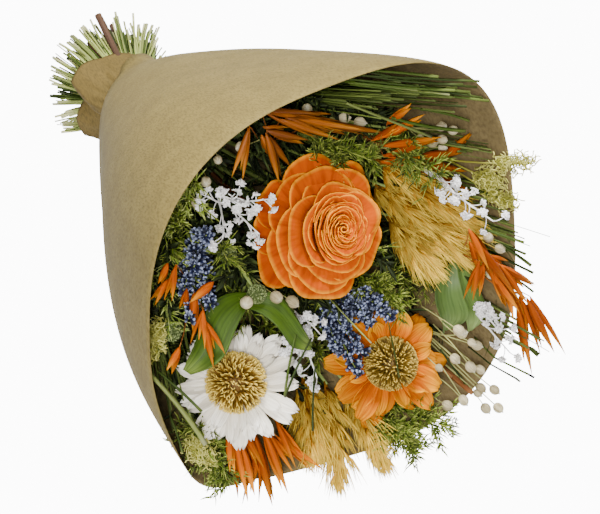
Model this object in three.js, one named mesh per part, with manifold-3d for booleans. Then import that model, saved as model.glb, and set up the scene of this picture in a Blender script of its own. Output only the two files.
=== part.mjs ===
// A mixed bouquet of dried and cut flowers, tied and lying on its side in a cone of kraft paper.
// Everything is built in the bouquet's own frame: the tie is at zero, +Z runs up the stems to the blooms,
// +Y is the side that is up when the bouquet lies down, and a last group tips it on to its paper side.
import * as THREE from 'three';
import { mergeVertices } from 'three/addons/utils/BufferGeometryUtils.js';
import Module from 'manifold-3d';

const wasm = await Module();
wasm.setup();
const { Manifold, Mesh: SolidMesh } = wasm;

const DEGREE = Math.PI / 180;

// How the bouquet lies, in millimetres and degrees
const RISE = 20.2 * DEGREE;
const TIE_HEIGHT = 32;
const GAP = 0.3;
const SMALLEST_DETAIL = 0.12;

// Kraft paper cone
const PAPER_WALL = 0.8;
const MOUTH_RADIUS = 149.8;
const MOUTH_CORNER = 7.8;
const MOUTH_CORNER_ANGLE = 32.5 * DEGREE;
const CONE_LENGTH = 296;
const CONE_FOOT_RADIUS = 30;
const RIM_WAVES = { side: 4.3, top: 5.5, oval: 2.1, corner: 9.2 };
const BELLY = { middle: 1.39, side: 0.15, top: 0.06, pressed: 1.12 };
const COLLAR_START = 3;
const COLLAR_FLARE = 4.5;
const COLLAR_FADE = 18;
const POCKET_END = 38;
const NECK_RADIUS = 25.8;
const NECK_END = 6;
const SKIRT_LENGTH = 26;
const SKIRT_RADIUS = 34.5;

// Bundle of stems in the tie
const STEM_PITCH = 5;
const CUT_RADIUS = 1.9;
const STEM_TIP = 1.3;
const BLOOM_NECK = 26;
const STEM_RADIUS = 2.3;
const PRESSED_RADIUS = 2.9;
const BUNDLE_RINGS = 4;
const BUNDLE_HALF = 8;
const TIE_WIDTH = 10;
const TIE_INNER = BUNDLE_RINGS * STEM_PITCH + PRESSED_RADIUS + GAP + 0.05;
const TIE_OUTER = TIE_INNER + 1.35;

const vector = (x, y, z) => new THREE.Vector3(x, y, z);
const mix = (a, b, t) => a + (b - a) * t;
const tableHeight = (p) => TIE_HEIGHT + p.y * Math.cos(RISE) + p.z * Math.sin(RISE);

function seeded(seed) {
  let state = seed;
  return () => {
    state = (state + 0x6d2b79f5) | 0;
    let t = Math.imul(state ^ (state >>> 15), 1 | state);
    t = (t + Math.imul(t ^ (t >>> 7), 61 | t)) ^ t;
    return ((t ^ (t >>> 14)) >>> 0) / 4294967296;
  };
}

const unitVector = (random) => {
  const z = random() * 2 - 1;
  const turn = random() * 2 * Math.PI;
  const flat = Math.sqrt(1 - z * z);
  return vector(flat * Math.cos(turn), flat * Math.sin(turn), z);
};

// Closed solid from points and triangles, turned the right way out
function solidFrom(points, faces) {
  let volume = 0;
  for (const [a, b, c] of faces) volume += points[a].dot(points[b].clone().cross(points[c]));
  const turned = volume < 0 ? faces.map(([a, b, c]) => [a, c, b]) : faces;
  const solid = new Manifold(new SolidMesh({
    numProp: 3,
    vertProperties: new Float32Array(points.flatMap((p) => [p.x, p.y, p.z])),
    triVerts: new Uint32Array(turned.flat()),
  }));
  solid.lowest = Math.min(...points.map(tableHeight));
  return solid;
}

// Skin over a row of loops. A loop of one point is a tip, and an open end gets a flat cap. 'spike' may
// give a point over the middle of a side face, which then rises to it.
function loft(loops, spike) {
  const faces = [];
  const points = loops.flat();
  let start = 0;
  for (let i = 0; i + 1 < loops.length; i += 1) {
    const here = loops[i].length;
    const there = loops[i + 1].length;
    const next = start + here;
    const sides = Math.max(here, there);
    for (let k = 0; k < sides; k += 1) {
      const l = (k + 1) % sides;
      const [a, b] = here > 1 ? [start + k, start + l] : [start, start];
      const [d, c] = there > 1 ? [next + k, next + l] : [next, next];
      const raised = here > 1 && there > 1 && spike && spike(i, k, [a, b, c, d].map((m) => points[m]));
      if (raised) {
        const tip = points.push(raised) - 1;
        faces.push([a, b, tip], [b, c, tip], [c, d, tip], [d, a, tip]);
      } else {
        if (here > 1) faces.push([a, b, c]);
        if (there > 1) faces.push([a, c, d]);
      }
    }
    start = next;
  }
  for (let k = 1; k + 1 < loops[0].length; k += 1) faces.push([0, k + 1, k]);
  for (let k = 1; k + 1 < loops.at(-1).length; k += 1) faces.push([start, start + k, start + k + 1]);
  return solidFrom(points, faces);
}

// Thin sheet on a grid of points, with the same triangles on both faces
function sheet(columns, rows, place, thickness) {
  const grid = [];
  for (let i = 0; i < columns; i += 1) {
    grid.push(Array.from({ length: rows }, (_, j) => place(i / (columns - 1), j / (rows - 1))));
  }
  const column = (i) => THREE.MathUtils.clamp(i, 0, columns - 1);
  const row = (j) => THREE.MathUtils.clamp(j, 0, rows - 1);
  const front = [];
  const back = [];
  for (let i = 0; i < columns; i += 1) {
    for (let j = 0; j < rows; j += 1) {
      const along = grid[column(i + 1)][j].clone().sub(grid[column(i - 1)][j]);
      const up = grid[i][row(j + 1)].clone().sub(grid[i][row(j - 1)]);
      const normal = along.cross(up).normalize();
      front.push(grid[i][j].clone().addScaledVector(normal, thickness / 2));
      back.push(grid[i][j].clone().addScaledVector(normal, -thickness / 2));
    }
  }
  const index = (i, j) => i * rows + j;
  const behind = front.length;
  const faces = [];
  const quad = (a, b, c, d) => faces.push([a, b, c], [a, c, d]);
  for (let i = 0; i + 1 < columns; i += 1) {
    for (let j = 0; j + 1 < rows; j += 1) {
      const [a, b, c, d] = [index(i, j), index(i + 1, j), index(i + 1, j + 1), index(i, j + 1)];
      quad(a, b, c, d);
      faces.push([behind + a, behind + c, behind + b], [behind + a, behind + d, behind + c]);
    }
    const [a, b] = [index(i, 0), index(i + 1, 0)];
    quad(behind + a, behind + b, b, a);
    const [c, d] = [index(i, rows - 1), index(i + 1, rows - 1)];
    quad(c, d, behind + d, behind + c);
  }
  for (let j = 0; j + 1 < rows; j += 1) {
    const [a, d] = [index(0, j), index(0, j + 1)];
    quad(a, d, behind + d, behind + a);
    const [b, c] = [index(columns - 1, j), index(columns - 1, j + 1)];
    quad(behind + b, behind + c, c, b);
  }
  return solidFrom([...front, ...back], faces);
}

// Loops round a path of points; 'radii' has one radius for each point and 'twist' turns each next loop
function loopsAlong(path, radii, sides, twist = 0) {
  let side = vector(0, 0, 0);
  return path.map((point, i) => {
    const way = path[Math.min(i + 1, path.length - 1)].clone().sub(path[Math.max(i - 1, 0)]).normalize();
    if (i === 0) side = Math.abs(way.x) < 0.8 ? vector(1, 0, 0) : vector(0, 1, 0);
    side = side.clone().addScaledVector(way, -side.dot(way)).normalize();
    const other = way.clone().cross(side);
    if (radii[i] === 0) return [point.clone()];
    return Array.from({ length: sides }, (_, k) => {
      const turn = (k + 0.5) * 2 * Math.PI / sides + i * twist;
      return point.clone().addScaledVector(side, radii[i] * Math.cos(turn))
        .addScaledVector(other, radii[i] * Math.sin(turn));
    });
  });
}

const rod = (path, radii, sides = 4) => loft(loopsAlong(path, radii, sides));

// Rod whose side faces rise to spikes that lean forward: 'reach' gives a spike's length at each step,
// or nothing where the rod is bare
function spikyRod(path, radii, sides, twist, lean, reach) {
  return loft(loopsAlong(path, radii, sides, twist), (i, k, corners) => {
    const length = reach(i, k);
    if (!length) return null;
    const middle = corners.reduce((sum, corner) => sum.add(corner), vector(0, 0, 0)).divideScalar(4);
    const way = path[i + 1].clone().sub(path[i]).normalize();
    const axis = path[i].clone().lerp(path[i + 1], 0.5);
    const out = middle.clone().sub(axis).projectOnPlane(way).normalize();
    return middle.add(out.addScaledVector(way, lean).setLength(length));
  });
}

// Points and triangles of one of the library's own round geometries, each point moved by 'shape'
function shapedGeometry(geometry, shape) {
  geometry.deleteAttribute('normal');
  geometry.deleteAttribute('uv');
  const merged = mergeVertices(geometry, 1e-4);
  const position = merged.getAttribute('position');
  const points = Array.from({ length: position.count }, (_, i) => shape(
    vector(position.getX(i), position.getY(i), position.getZ(i)), i));
  const index = Array.from(merged.getIndex().array);
  const faces = [];
  for (let i = 0; i < index.length; i += 3) faces.push(index.slice(i, i + 3));
  return { points, faces };
}

// Ball whose every triangle is raised to a point
function studdedBall(centre, radius, detail, height) {
  const { points, faces } = shapedGeometry(new THREE.IcosahedronGeometry(radius, detail), (p) => p);
  const studded = [];
  for (const [a, b, c] of faces) {
    const top = points[a].clone().add(points[b]).add(points[c]).setLength(radius + height);
    const tip = points.push(top) - 1;
    studded.push([a, b, tip], [b, c, tip], [c, a, tip]);
  }
  return solidFrom(points.map((p) => p.clone().add(centre)), studded);
}

// Pieces already in place, so that what grows later is kept clear of them
const placed = [];
const nodes = new Map();

function isClear(solid, owner) {
  if (solid.lowest < GAP) return false;
  const box = solid.boundingBox();
  return placed.every((other) => {
    if (other.owner === owner) return true;
    const apart = [0, 1, 2].some((axis) => box.min[axis] > other.box.max[axis] + GAP
      || box.max[axis] < other.box.min[axis] - GAP);
    return apart || solid.minGap(other.solid, GAP) >= GAP;
  });
}

function add(owner, solid) {
  placed.push({ owner, solid, box: solid.boundingBox() });
  nodes.get(owner).push(solid);
}

function addIfClear(owner, solid) {
  const clear = isClear(solid, owner);
  if (clear) add(owner, solid);
  return clear;
}

// Skin over a closed row of loops, the last one joined to the first
function ringLoft(loops) {
  const sides = loops[0].length;
  const index = (i, k) => (i % loops.length) * sides + (k % sides);
  const faces = loops.flatMap((_, i) => loops[0].flatMap((__, k) => [
    [index(i, k), index(i, k + 1), index(i + 1, k + 1)],
    [index(i, k), index(i + 1, k + 1), index(i + 1, k)]]));
  return solidFrom(loops.flat(), faces);
}

// Kraft paper wrapper: a cone with a soft four-cornered mouth, a collar that stands free round the neck,
// and the gathered neck and skirt that come out from under it
const rimLength = (angle) => CONE_LENGTH - RIM_WAVES.side * Math.cos(angle)
  - RIM_WAVES.top * Math.sin(angle) - RIM_WAVES.oval * Math.cos(2 * angle)
  - RIM_WAVES.corner * Math.sin(2 * angle);
const mouthRadius = (angle) => MOUTH_RADIUS + MOUTH_CORNER * Math.cos(4 * (angle - MOUTH_CORNER_ANGLE));
const underside = (angle) => Math.max(0, -Math.sin(angle)) ** 7;
const fullness = (angle) => mix(BELLY.middle - BELLY.side * Math.cos(angle)
  - BELLY.top * Math.sin(angle), BELLY.pressed, underside(angle));

function coneRadius(angle, z) {
  const share = Math.min(Math.max(z, 0) / rimLength(angle), 1);
  const cone = mix(CONE_FOOT_RADIUS, mouthRadius(angle), 1 - (1 - share) ** fullness(angle));
  return cone + COLLAR_FLARE * Math.exp(-z / COLLAR_FADE);
}

// A point of the paper, pressed flat where it would go through the table
function onPaper(angle, radius, z, clearance = 0) {
  const lowest = (clearance - TIE_HEIGHT - z * Math.sin(RISE)) / Math.cos(RISE);
  return vector(radius * Math.cos(angle), Math.max(radius * Math.sin(angle), lowest), z);
}

// One closed skin: up the outside of the cone, over the rim, down the inside and the neck to the skirt,
// and up again between the neck and the collar
function paperWrap() {
  const columns = 36;
  const seam = { at: 236, width: 28, step: 0.7 };
  const foldDepth = { skirt: 2.4, pocket: 5 };
  const fold = (angle) => 0.5 * Math.sin(3 * angle + 0.6) + 0.5 * Math.sin(6 * angle);
  const seamEdge = (angle) => {
    const past = (angle / DEGREE + 360 - seam.at) % 360;
    return past < seam.width ? seam.step * (1 - past / seam.width) : 0;
  };
  const cone = (angle, z, inset) => onPaper(angle, coneRadius(angle, z) - inset
    + (inset ? 0 : seamEdge(angle)), z, inset);
  const neck = (angle, z, inset) => {
    const up = THREE.MathUtils.smoothstep(z, NECK_END - 1, POCKET_END + 6);
    const down = THREE.MathUtils.smoothstep(-z, NECK_END - 1, SKIRT_LENGTH);
    const radius = z > 0 ? mix(NECK_RADIUS, coneRadius(angle, z) - PAPER_WALL * 1.5, up)
      : mix(NECK_RADIUS, SKIRT_RADIUS, down);
    const folded = (down * foldDepth.skirt + up * (1 - up) * foldDepth.pocket) * fold(angle);
    return onPaper(angle, radius + folded - inset, z, inset);
  };
  const rim = (angle, share) => mix(COLLAR_START, rimLength(angle), share);
  const profile = [
    ...[0, 0.07, 0.17, 0.34, 0.54, 0.77, 1].map((share) => (angle) => cone(angle, rim(angle, share), 0)),
    ...[1, 0.77, 0.54, 0.34].map((share) => (angle) => cone(angle, rim(angle, share), PAPER_WALL)),
    ...[30, NECK_END, -NECK_END, -SKIRT_LENGTH].map((z) => (angle) => neck(angle, z, PAPER_WALL)),
    ...[-SKIRT_LENGTH, -NECK_END, NECK_END, POCKET_END].map((z) => (angle) => neck(angle, z, 0)),
    (angle) => cone(angle, COLLAR_START, PAPER_WALL),
  ];
  const angles = Array.from({ length: columns }, (_, k) => -Math.PI / 2 + k * 2 * Math.PI / columns);
  const loops = profile.map((place) => angles.map(place));
  return [ringLoft(loops)];
}

// Tie: a band round the bundle of stems, a little crowned, inside the paper's neck
function tieBand() {
  const half = TIE_WIDTH / 2;
  const edge = TIE_OUTER - 0.4;
  const profile = [[TIE_INNER, -half], [edge, -half], [TIE_OUTER, 0], [edge, half],
    [TIE_INNER, half], [TIE_INNER, -half]].map(([x, y]) => new THREE.Vector2(x, y));
  const { points, faces } = shapedGeometry(new THREE.LatheGeometry(profile, 12),
    (p) => vector(p.x, p.z, p.y));
  return [solidFrom(points, faces)];
}

// Frame of a bloom: its foot, the way it faces, and points given as turn, radius and height above the foot
function bloomFrame({ foot, facing }) {
  const up = vector(...facing).normalize();
  const side = vector(1, 0, 0).addScaledVector(up, -up.x).normalize();
  const other = up.clone().cross(side);
  const origin = vector(...foot);
  return (turn, radius, height) => origin.clone().addScaledVector(side, radius * Math.cos(turn))
    .addScaledVector(other, radius * Math.sin(turn)).addScaledVector(up, height);
}

const ROSE = { foot: [6, 23, 258], facing: [0.003, 0.488, 0.873], radius: 43 };
const WHITE_DAISY = { foot: [-83, -45, 286], facing: [-0.252, 0.777, 0.569], radius: 42, ball: 18.5 };
const ORANGE_DAISY = { foot: [24, -88, 292], facing: [-0.11, 0.53, 0.835], radius: 47, ball: 18 };

// Wood-shaving rose: a tight spiral in the middle and rings of curled petals round it. The skin runs
// from the calyx up and down over each ring of petals in turn, and every ring has its own petal count.
function rosePetals() {
  const at = bloomFrame(ROSE);
  const random = seeded(11);
  const columns = 28;
  const rings = [
    { count: 7, radius: ROSE.radius, height: 14, root: [30, 4], middle: [39, 8] },
    { count: 6, radius: 37, height: 21, root: [24.5, 9], middle: [33.5, 13] },
    { count: 5, radius: 31, height: 27, root: [20, 14], middle: [28.5, 19] },
    { count: 5, radius: 25, height: 32, root: [16.5, 19], middle: [23.3, 24] },
    { count: 4, radius: 19.5, height: 35, root: [13.8, 22], middle: [17.8, 29] },
  ];
  const loop = (place) => Array.from({ length: columns }, (_, k) => place(k * 2 * Math.PI / columns));
  const skin = [[at(0, 0, 0)], loop((turn) => at(turn, 11, 0)), loop((turn) => at(turn, 24, 1.5))];
  for (const { count, radius, height, root, middle } of rings) {
    const start = random();
    const own = Array.from({ length: count }, () => [random() - 0.5, random() - 0.5]);
    const petal = (turn, amount, [out, up]) => {
      const place = (turn / (2 * Math.PI) * count + start) % count;
      const across = (place % 1) * 2 - 1;
      const [wide, tall] = own[Math.floor(place)];
      return at(turn, out + amount * (1.3 * across + 2 * wide),
        up + amount * (2 * tall - 3 * Math.abs(across) ** 3));
    };
    const wall = 0.9;
    skin.push(
      loop((turn) => petal(turn, 0.6, middle)),
      loop((turn) => petal(turn, 1, [radius, height])),
      loop((turn) => petal(turn, 1, [radius - wall, height + 0.4])),
      loop((turn) => petal(turn, 0.6, [middle[0] - wall * 1.2, middle[1] + 0.6])),
      loop((turn) => at(turn, root[0], root[1])),
    );
  }
  skin.push([at(0, 0, 22)]);
  const coil = { turns: 2.4, inner: 2.2, outer: 12.2, foot: 21, top: 37.5, outerTop: 36, wave: 0.7 };
  const spiral = sheet(22, 2, (u, v) => {
    const angle = u * coil.turns * 2 * Math.PI;
    const top = mix(coil.top, coil.outerTop, u) + coil.wave * Math.sin(angle * 2.3);
    return at(angle, mix(coil.inner, coil.outer, u), mix(coil.foot, top, v));
  }, 1);
  return [loft(skin), spiral];
}

// Daisy: two layers of petals on a flat hub
const HUB = { radius: 12.5, below: 2.2, above: 0.6 };
const PETAL_ROOT = 9.5;
const LAYER_STEP = 1.25;

function daisyPetals(bloom, { count, rows, width, notch, cup, wave, seed }) {
  const at = bloomFrame(bloom);
  const random = seeded(seed);
  const edge = (height) => Array.from({ length: 10 }, (_, k) => at(k * Math.PI / 5, HUB.radius, height));
  const hub = loft([edge(-HUB.below), edge(HUB.above)]);
  const petals = Array.from({ length: count * 2 }, (_, k) => {
    const lower = k % 2;
    const middle = (k + (random() - 0.5) * 0.35) * Math.PI / count;
    const length = bloom.radius * (0.9 + 0.1 * random());
    const lift = lower ? -wave * (0.25 + 0.75 * random()) : wave * random();
    const twist = wave * 0.3 * (random() - 0.5);
    return sheet(3, rows - lower, (u, v) => {
      const across = u * 2 - 1;
      const bend = THREE.MathUtils.smoothstep(v, 0.3, 1);
      const half = width / 2 * Math.min(1, 0.3 + 1.2 * v) * (v > 0.9 ? 0.6 : 1);
      const out = mix(PETAL_ROOT, length, v) - (v > 0.9 ? notch * (1 - Math.abs(across)) : 0);
      const high = -0.15 - lower * LAYER_STEP + bend * (lift + cup * across ** 2 + twist * across);
      return at(middle + Math.atan2(across * half, out), Math.hypot(out, across * half), high);
    }, 0.8);
  });
  return [hub, ...petals];
}

// Bristly ball in the middle of a daisy, flat where it sits on the petals
const STUD = 1.8;

function daisyBall(bloom) {
  const up = vector(...bloom.facing).normalize();
  const foot = vector(...bloom.foot);
  const centre = foot.clone().addScaledVector(up, bloom.ball / 2);
  const whole = studdedBall(centre, bloom.ball - STUD, 2, STUD);
  return [whole.trimByPlane(up.toArray(), up.dot(foot) + HUB.above + GAP)];
}

// Stems: where each one's head or fork is. 'facing' bends the top of the stem to the bloom.
const stemTop = (bloom, below) => vector(...bloom.foot).addScaledVector(
  vector(...bloom.facing).normalize(), -below - GAP - 0.05).toArray();
const STEMS = {
  rose_stem: { top: stemTop(ROSE, 0), facing: ROSE.facing, colour: 0x6f7a3a },
  white_daisy_stem: { top: stemTop(WHITE_DAISY, HUB.below), facing: WHITE_DAISY.facing, colour: 0x7d8445 },
  orange_daisy_stem: { top: stemTop(ORANGE_DAISY, HUB.below), facing: ORANGE_DAISY.facing, colour: 0x7d8445 },
  plume_upper_1: { top: [70, 36, 243], colour: 0xd9a640 },
  plume_upper_2: { top: [72, 12, 245], colour: 0xd9a640 },
  plume_upper_3: { top: [70, -12, 248], colour: 0xd9a640 },
  plume_lower_1: { top: [-26, -93, 262], colour: 0xd9a640 },
  plume_lower_2: { top: [-12, -104, 266], colour: 0xd9a640 },
  plume_lower_3: { top: [2, -113, 268], colour: 0xd9a640 },
  oats_right: { top: [106, -52, 270], colour: 0xd8641c },
  oats_top: { top: [88, 34, 222], colour: 0xd8641c },
  oats_upper_left: { top: [10, 62, 212], colour: 0xd8641c },
  oats_bottom: { top: [-76, -88, 258], colour: 0xd8641c },
  oats_left: { top: [-84, 14, 246], colour: 0xd8641c },
  white_sprig_left: { top: [-40, 52, 236], colour: 0xf1efe9 },
  white_sprig_right: { top: [104, 16, 258], colour: 0xf1efe9 },
  white_sprig_lower: { top: [102, -80, 284], colour: 0xf1efe9 },
  white_sprig_middle: { top: [-20, -38, 258], colour: 0xf1efe9 },
  blue_spikes_left: { top: [-66, 40, 232], colour: 0x4c5f9c },
  blue_spikes_middle: { top: [4, -42, 250], colour: 0x4c5f9c },
  blue_spikes_right: { top: [22, -36, 258], colour: 0x4c5f9c },
  pods_left: { top: [-44, 4, 262], colour: 0xe9e2cf },
  pods_upper: { top: [52, 62, 205], colour: 0xe9e2cf },
  pods_top: { top: [106, 36, 228], colour: 0xe9e2cf },
  pods_right: { top: [121, -38, 262], colour: 0xe9e2cf },
  pods_lower: { top: [64, -92, 285], colour: 0xe9e2cf },
  button_upper: { top: [-52, 28, 243], colour: 0x8e9a5b },
  button_middle: { top: [-50, 12, 271], colour: 0x8e9a5b },
  button_left: { top: [-105, 2, 252], colour: 0x8e9a5b },
  broad_leaves_left: { top: [-46, 2, 256], colour: 0x7f9b57 },
  broad_leaves_right: { top: [88, -56, 254], colour: 0x7f9b57 },
  fern_left: { top: [-62, 58, 215], colour: 0x6f8a2c },
  fern_top: { top: [40, 60, 226], colour: 0x6f8a2c },
  fern_right: { top: [92, 46, 238], colour: 0x6f8a2c },
  fern_middle: { top: [30, -34, 258], colour: 0x6f8a2c },
  fern_bottom: { top: [8, -118, 290], colour: 0x6f8a2c },
  fern_lower_left: { top: [-108, -66, 276], colour: 0x6f8a2c },
  moss_right: { top: [124, 8, 250], colour: 0xa9ab4e },
  moss_left: { top: [-110, 14, 250], colour: 0xa9ab4e },
  moss_lower: { top: [-116, -72, 272], colour: 0xa9ab4e },
  twig_right: { top: [64, -118, 305], colour: 0x6a4a2f },
  twig_top: { top: [26, 84, 190], colour: 0x6a4a2f },
  forked_stalk: { top: [-74, 62, 180], colour: 0x3d4a22 },
};

// Grass: three bunches side by side in the outside of the bundle, and where each blade ends
const GRASS = {
  grass_right: { from: -65, ends: [[119, -100, 338], [134, -30, 312], [136, -10, 302]] },
  grass_top: { from: 10, ends: [[140, 30, 294], [125, 84, 293], [100, 92, 280], [76, 98, 278]] },
  grass_left: { from: 165, ends: [[-128, -2, 280], [-131, -31, 279], [-122, -55, 284], [-112, -79, 280]] },
};
const GRASS_COLOUR = 0x5d7434;
const GRASS_TIP = 0.9;
const LINK_RADIUS = 1.5;

// Places in the tie: a packed hexagon, one place for each stem
function tiePlaces() {
  const found = [];
  for (let row = -BUNDLE_RINGS; row <= BUNDLE_RINGS; row += 1) {
    for (let step = -BUNDLE_RINGS; step <= BUNDLE_RINGS; step += 1) {
      if (Math.abs(row + step) <= BUNDLE_RINGS) {
        const place = vector(STEM_PITCH * (step + row / 2), STEM_PITCH * row * Math.sqrt(3) / 2, 0);
        place.outer = Math.max(Math.abs(row), Math.abs(step), Math.abs(row + step)) === BUNDLE_RINGS;
        found.push(place);
      }
    }
  }
  return found;
}

// Takes the places of one grass bunch out of the list: neighbours in the outer ring, by their turn
function takeBunch(places, from, count) {
  const turnOf = (place) => (Math.atan2(place.y, place.x) / DEGREE - from + 720) % 360;
  const bunch = places.filter((place) => place.outer).sort((a, b) => turnOf(a) - turnOf(b)).slice(0, count);
  for (const place of bunch) places.splice(places.indexOf(place), 1);
  return bunch;
}

// Least distance between two straight stems
function stemDistance(a, b) {
  const line = new THREE.Line3(b.from, b.to);
  const nearest = vector(0, 0, 0);
  let least = Infinity;
  for (let k = 0; k <= 6; k += 1) {
    const point = a.from.clone().lerp(a.to, 0.1 + 0.15 * k);
    least = Math.min(least, line.closestPointToPoint(point, true, nearest).distanceTo(point));
  }
  return least;
}

// Gives each stem a place in the tie so that stems run side by side and don't cross
function sortStems(tops, places) {
  const wanted = tops.map((top) => top.clone().setZ(0).multiplyScalar(0.15));
  const free = [...places];
  const stems = [];
  const outermostFirst = tops.map((_, i) => i).sort((a, b) => wanted[b].length() - wanted[a].length());
  for (const i of outermostFirst) {
    free.sort((a, b) => a.distanceTo(wanted[i]) - b.distanceTo(wanted[i]));
    stems[i] = { from: free.shift(), to: tops[i] };
  }
  const crowding = (i) => stems.reduce((sum, other, k) => sum
    + (k === i ? 0 : Math.max(0, STEM_PITCH + 0.5 - stemDistance(stems[i], other)) ** 2), 0)
    + 0.02 * stems[i].from.distanceToSquared(wanted[i]);
  const random = seeded(5);
  const passes = 30000;
  for (let pass = 0; pass < passes; pass += 1) {
    const [i, k] = [Math.floor(random() * stems.length), Math.floor(random() * stems.length)];
    const heat = 6 * (1 - pass / passes) ** 2;
    if (i === k) continue;
    const before = crowding(i) + crowding(k);
    [stems[i].from, stems[k].from] = [stems[k].from, stems[i].from];
    if (crowding(i) + crowding(k) >= before - heat * Math.log(random())) {
      [stems[i].from, stems[k].from] = [stems[k].from, stems[i].from];
    }
  }
  return stems.map((stem) => stem.from);
}

// Below the tie the stems fan out, cut at uneven lengths, and bend up where they meet the table
const STEM_END = { shortest: 46, longest: 62, spread: 1.6, rise: 0.9, pressed: 1.08, lift: 12 };

function fanEnd(place, random) {
  const length = mix(STEM_END.shortest, STEM_END.longest, random());
  const share = length / STEM_END.longest;
  const rise = place.y > 0 ? 1 + STEM_END.rise * share : STEM_END.pressed;
  return vector(place.x * (1 + STEM_END.spread * share) + (random() - 0.5) * 2,
    place.y * rise + STEM_END.lift * share, -length);
}

function throughTheTie(place, random) {
  const cut = fanEnd(place, random);
  const skirt = place.clone().lerp(cut.clone().setZ(0), 0.3).setZ(-SKIRT_LENGTH);
  return [cut, skirt, place.clone().setZ(-BUNDLE_HALF), place.clone().setZ(BUNDLE_HALF)];
}

// Tries the straight stem first, then stems that bow a little more to one side or another
function growStem(name, place, top, { facing, seed, tip = STEM_TIP }) {
  const random = seeded(seed + 1);
  let above = vector(...top);
  const turn = facing ? above.clone().addScaledVector(vector(...facing).normalize(), -BLOOM_NECK) : above;
  for (let attempt = 0; attempt < 60; attempt += 1) {
    const path = throughTheTie(place, seeded(seed));
    if (attempt > 12 && !facing) above = vector(...top).addScaledVector(unitVector(random), attempt * 0.15);
    const bow = attempt === 0 ? 0 : 2 + attempt * 0.4;
    const bend = vector(bow * Math.cos(attempt * 2.4), bow * Math.sin(attempt * 2.4), 0);
    if (bow) path.push(path.at(-1).clone().lerp(turn, 0.5).add(bend));
    if (facing) path.push(turn.clone().lerp(path.at(-1), 0.12), above.clone().lerp(turn, 0.4));
    path.push(above);
    const upper = path.length - 4;
    const radii = path.map((_, i) => {
      if (i === 0) return CUT_RADIUS;
      if (i === 2) return PRESSED_RADIUS;
      return i < 4 ? STEM_RADIUS : mix(STEM_RADIUS, tip, (i - 3) / upper);
    });
    if (addIfClear(name, rod(path, radii, 3))) return path;
  }
  throw new Error(`no clear way for ${name}`);
}

// Thin bare branch from a fork to a tip
function growBranch(name, stem, tip, random, { radius = 0.8, tries = 16, stray = 0.4 } = {}) {
  for (let attempt = 0; attempt < tries; attempt += 1) {
    const path = branchPath(stem, 0, tip, random, attempt, stray, 3);
    if (addIfClear(name, rod(path, [radius * 1.3, radius * 1.2, radius, radius * 0.8], 3))) return path;
  }
  return null;
}

// Path of a branch from its fork to a tip, bowed and strayed more with each try. Each next branch of a
// stem leaves it a little lower.
function branchPath(stem, order, tip, random, attempt, stray, steps) {
  const last = stem.at(-1);
  const below = Math.min(0.5, (3 + 6 * order) / last.distanceTo(stem.at(-2)));
  const fork = last.clone().lerp(stem.at(-2), below);
  const jog = (size) => vector(random() - 0.5, random() - 0.5, random() - 0.5).multiplyScalar(size);
  const end = tip.clone().add(jog(attempt * stray));
  const middle = fork.clone().lerp(end, 0.5).add(jog(3 + attempt * 1.6));
  middle.z += 0.12 * fork.distanceTo(end);
  return new THREE.QuadraticBezierCurve3(fork, middle, end).getPoints(steps);
}

// Each later try is a little slimmer
const slimmer = (attempt) => 1 - attempt * 0.015;
const TWIG = 0.9;

// Oat grass: each branch ends in long bracts that gape, two of them raised from the sides of the first
const HUSK = { length: 30, radius: 2.9, bract: 17, lean: 2.2 };

function growOats(name, stem, tips, random) {
  for (const [order, place] of tips.entries()) {
    for (let attempt = 0; attempt < 24; attempt += 1) {
      const [foot, bend, end] = branchPath(stem, order, vector(...place), random, attempt, 0.5, 2);
      const way = end.clone().sub(bend).normalize();
      const root = end.clone().addScaledVector(way, -Math.min(HUSK.length, end.distanceTo(foot) * 0.7));
      const belly = root.clone().lerp(end, 0.42);
      const size = slimmer(attempt);
      const reach = (i, k) => (i === 1 && k % 2 ? HUSK.bract * size : 0);
      const radii = [TWIG, TWIG, HUSK.radius * size, 0];
      const husk = spikyRod([foot, root, belly, end], radii, 4, 0, HUSK.lean, reach);
      if (addIfClear(name, husk)) break;
    }
  }
}

// Round pods on thin stalks
const POD_RADIUS = 4.7;

function growPods(name, stem, centres, random) {
  const R = POD_RADIUS;
  for (const [order, place] of centres.entries()) {
    for (let attempt = 0; attempt < 30; attempt += 1) {
      const [foot, , middle] = branchPath(stem, order, vector(...place), random, attempt, 0.35, 2);
      const way = middle.clone().sub(foot).normalize();
      const along = (distance) => middle.clone().addScaledVector(way, distance);
      const path = [foot, along(-R), along(-0.45 * R), along(0.45 * R), along(R)];
      if (addIfClear(name, rod(path, [TWIG, TWIG, 0.93 * R, 0.93 * R, 0], 5))) break;
    }
  }
}

// Branches with spikes all round, for every spray that is set with needles or florets
function growSpiky(name, stem, tips, random, { steps, sides = 3, core, from, spike, lean, stray = 0.5 }) {
  for (const [order, place] of tips.entries()) {
    for (let attempt = 0; attempt < 24; attempt += 1) {
      const path = branchPath(stem, order, vector(...place), random, attempt, stray, steps);
      const slim = slimmer(attempt);
      const radii = path.map((_, i) => {
        const t = i / steps;
        return t < from ? 0.9 * TWIG : mix(core, core * 0.4, (t - from) / (1 - from)) * slim;
      });
      const reach = (i, k) => (i / steps < from ? 0 : spike * slim * mix(1, 0.65, i / steps)
        * (1 + 0.12 * ((i * 2 + k) % 3 - 1)));
      if (addIfClear(name, spikyRod(path, radii, sides, 0.35, lean, reach))) break;
    }
  }
}

// Plume of bristle grass: a spindle with bristles that stand out and forward
const PLUME = { core: 5, bristle: 12.5, lean: 1.5 };

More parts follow.
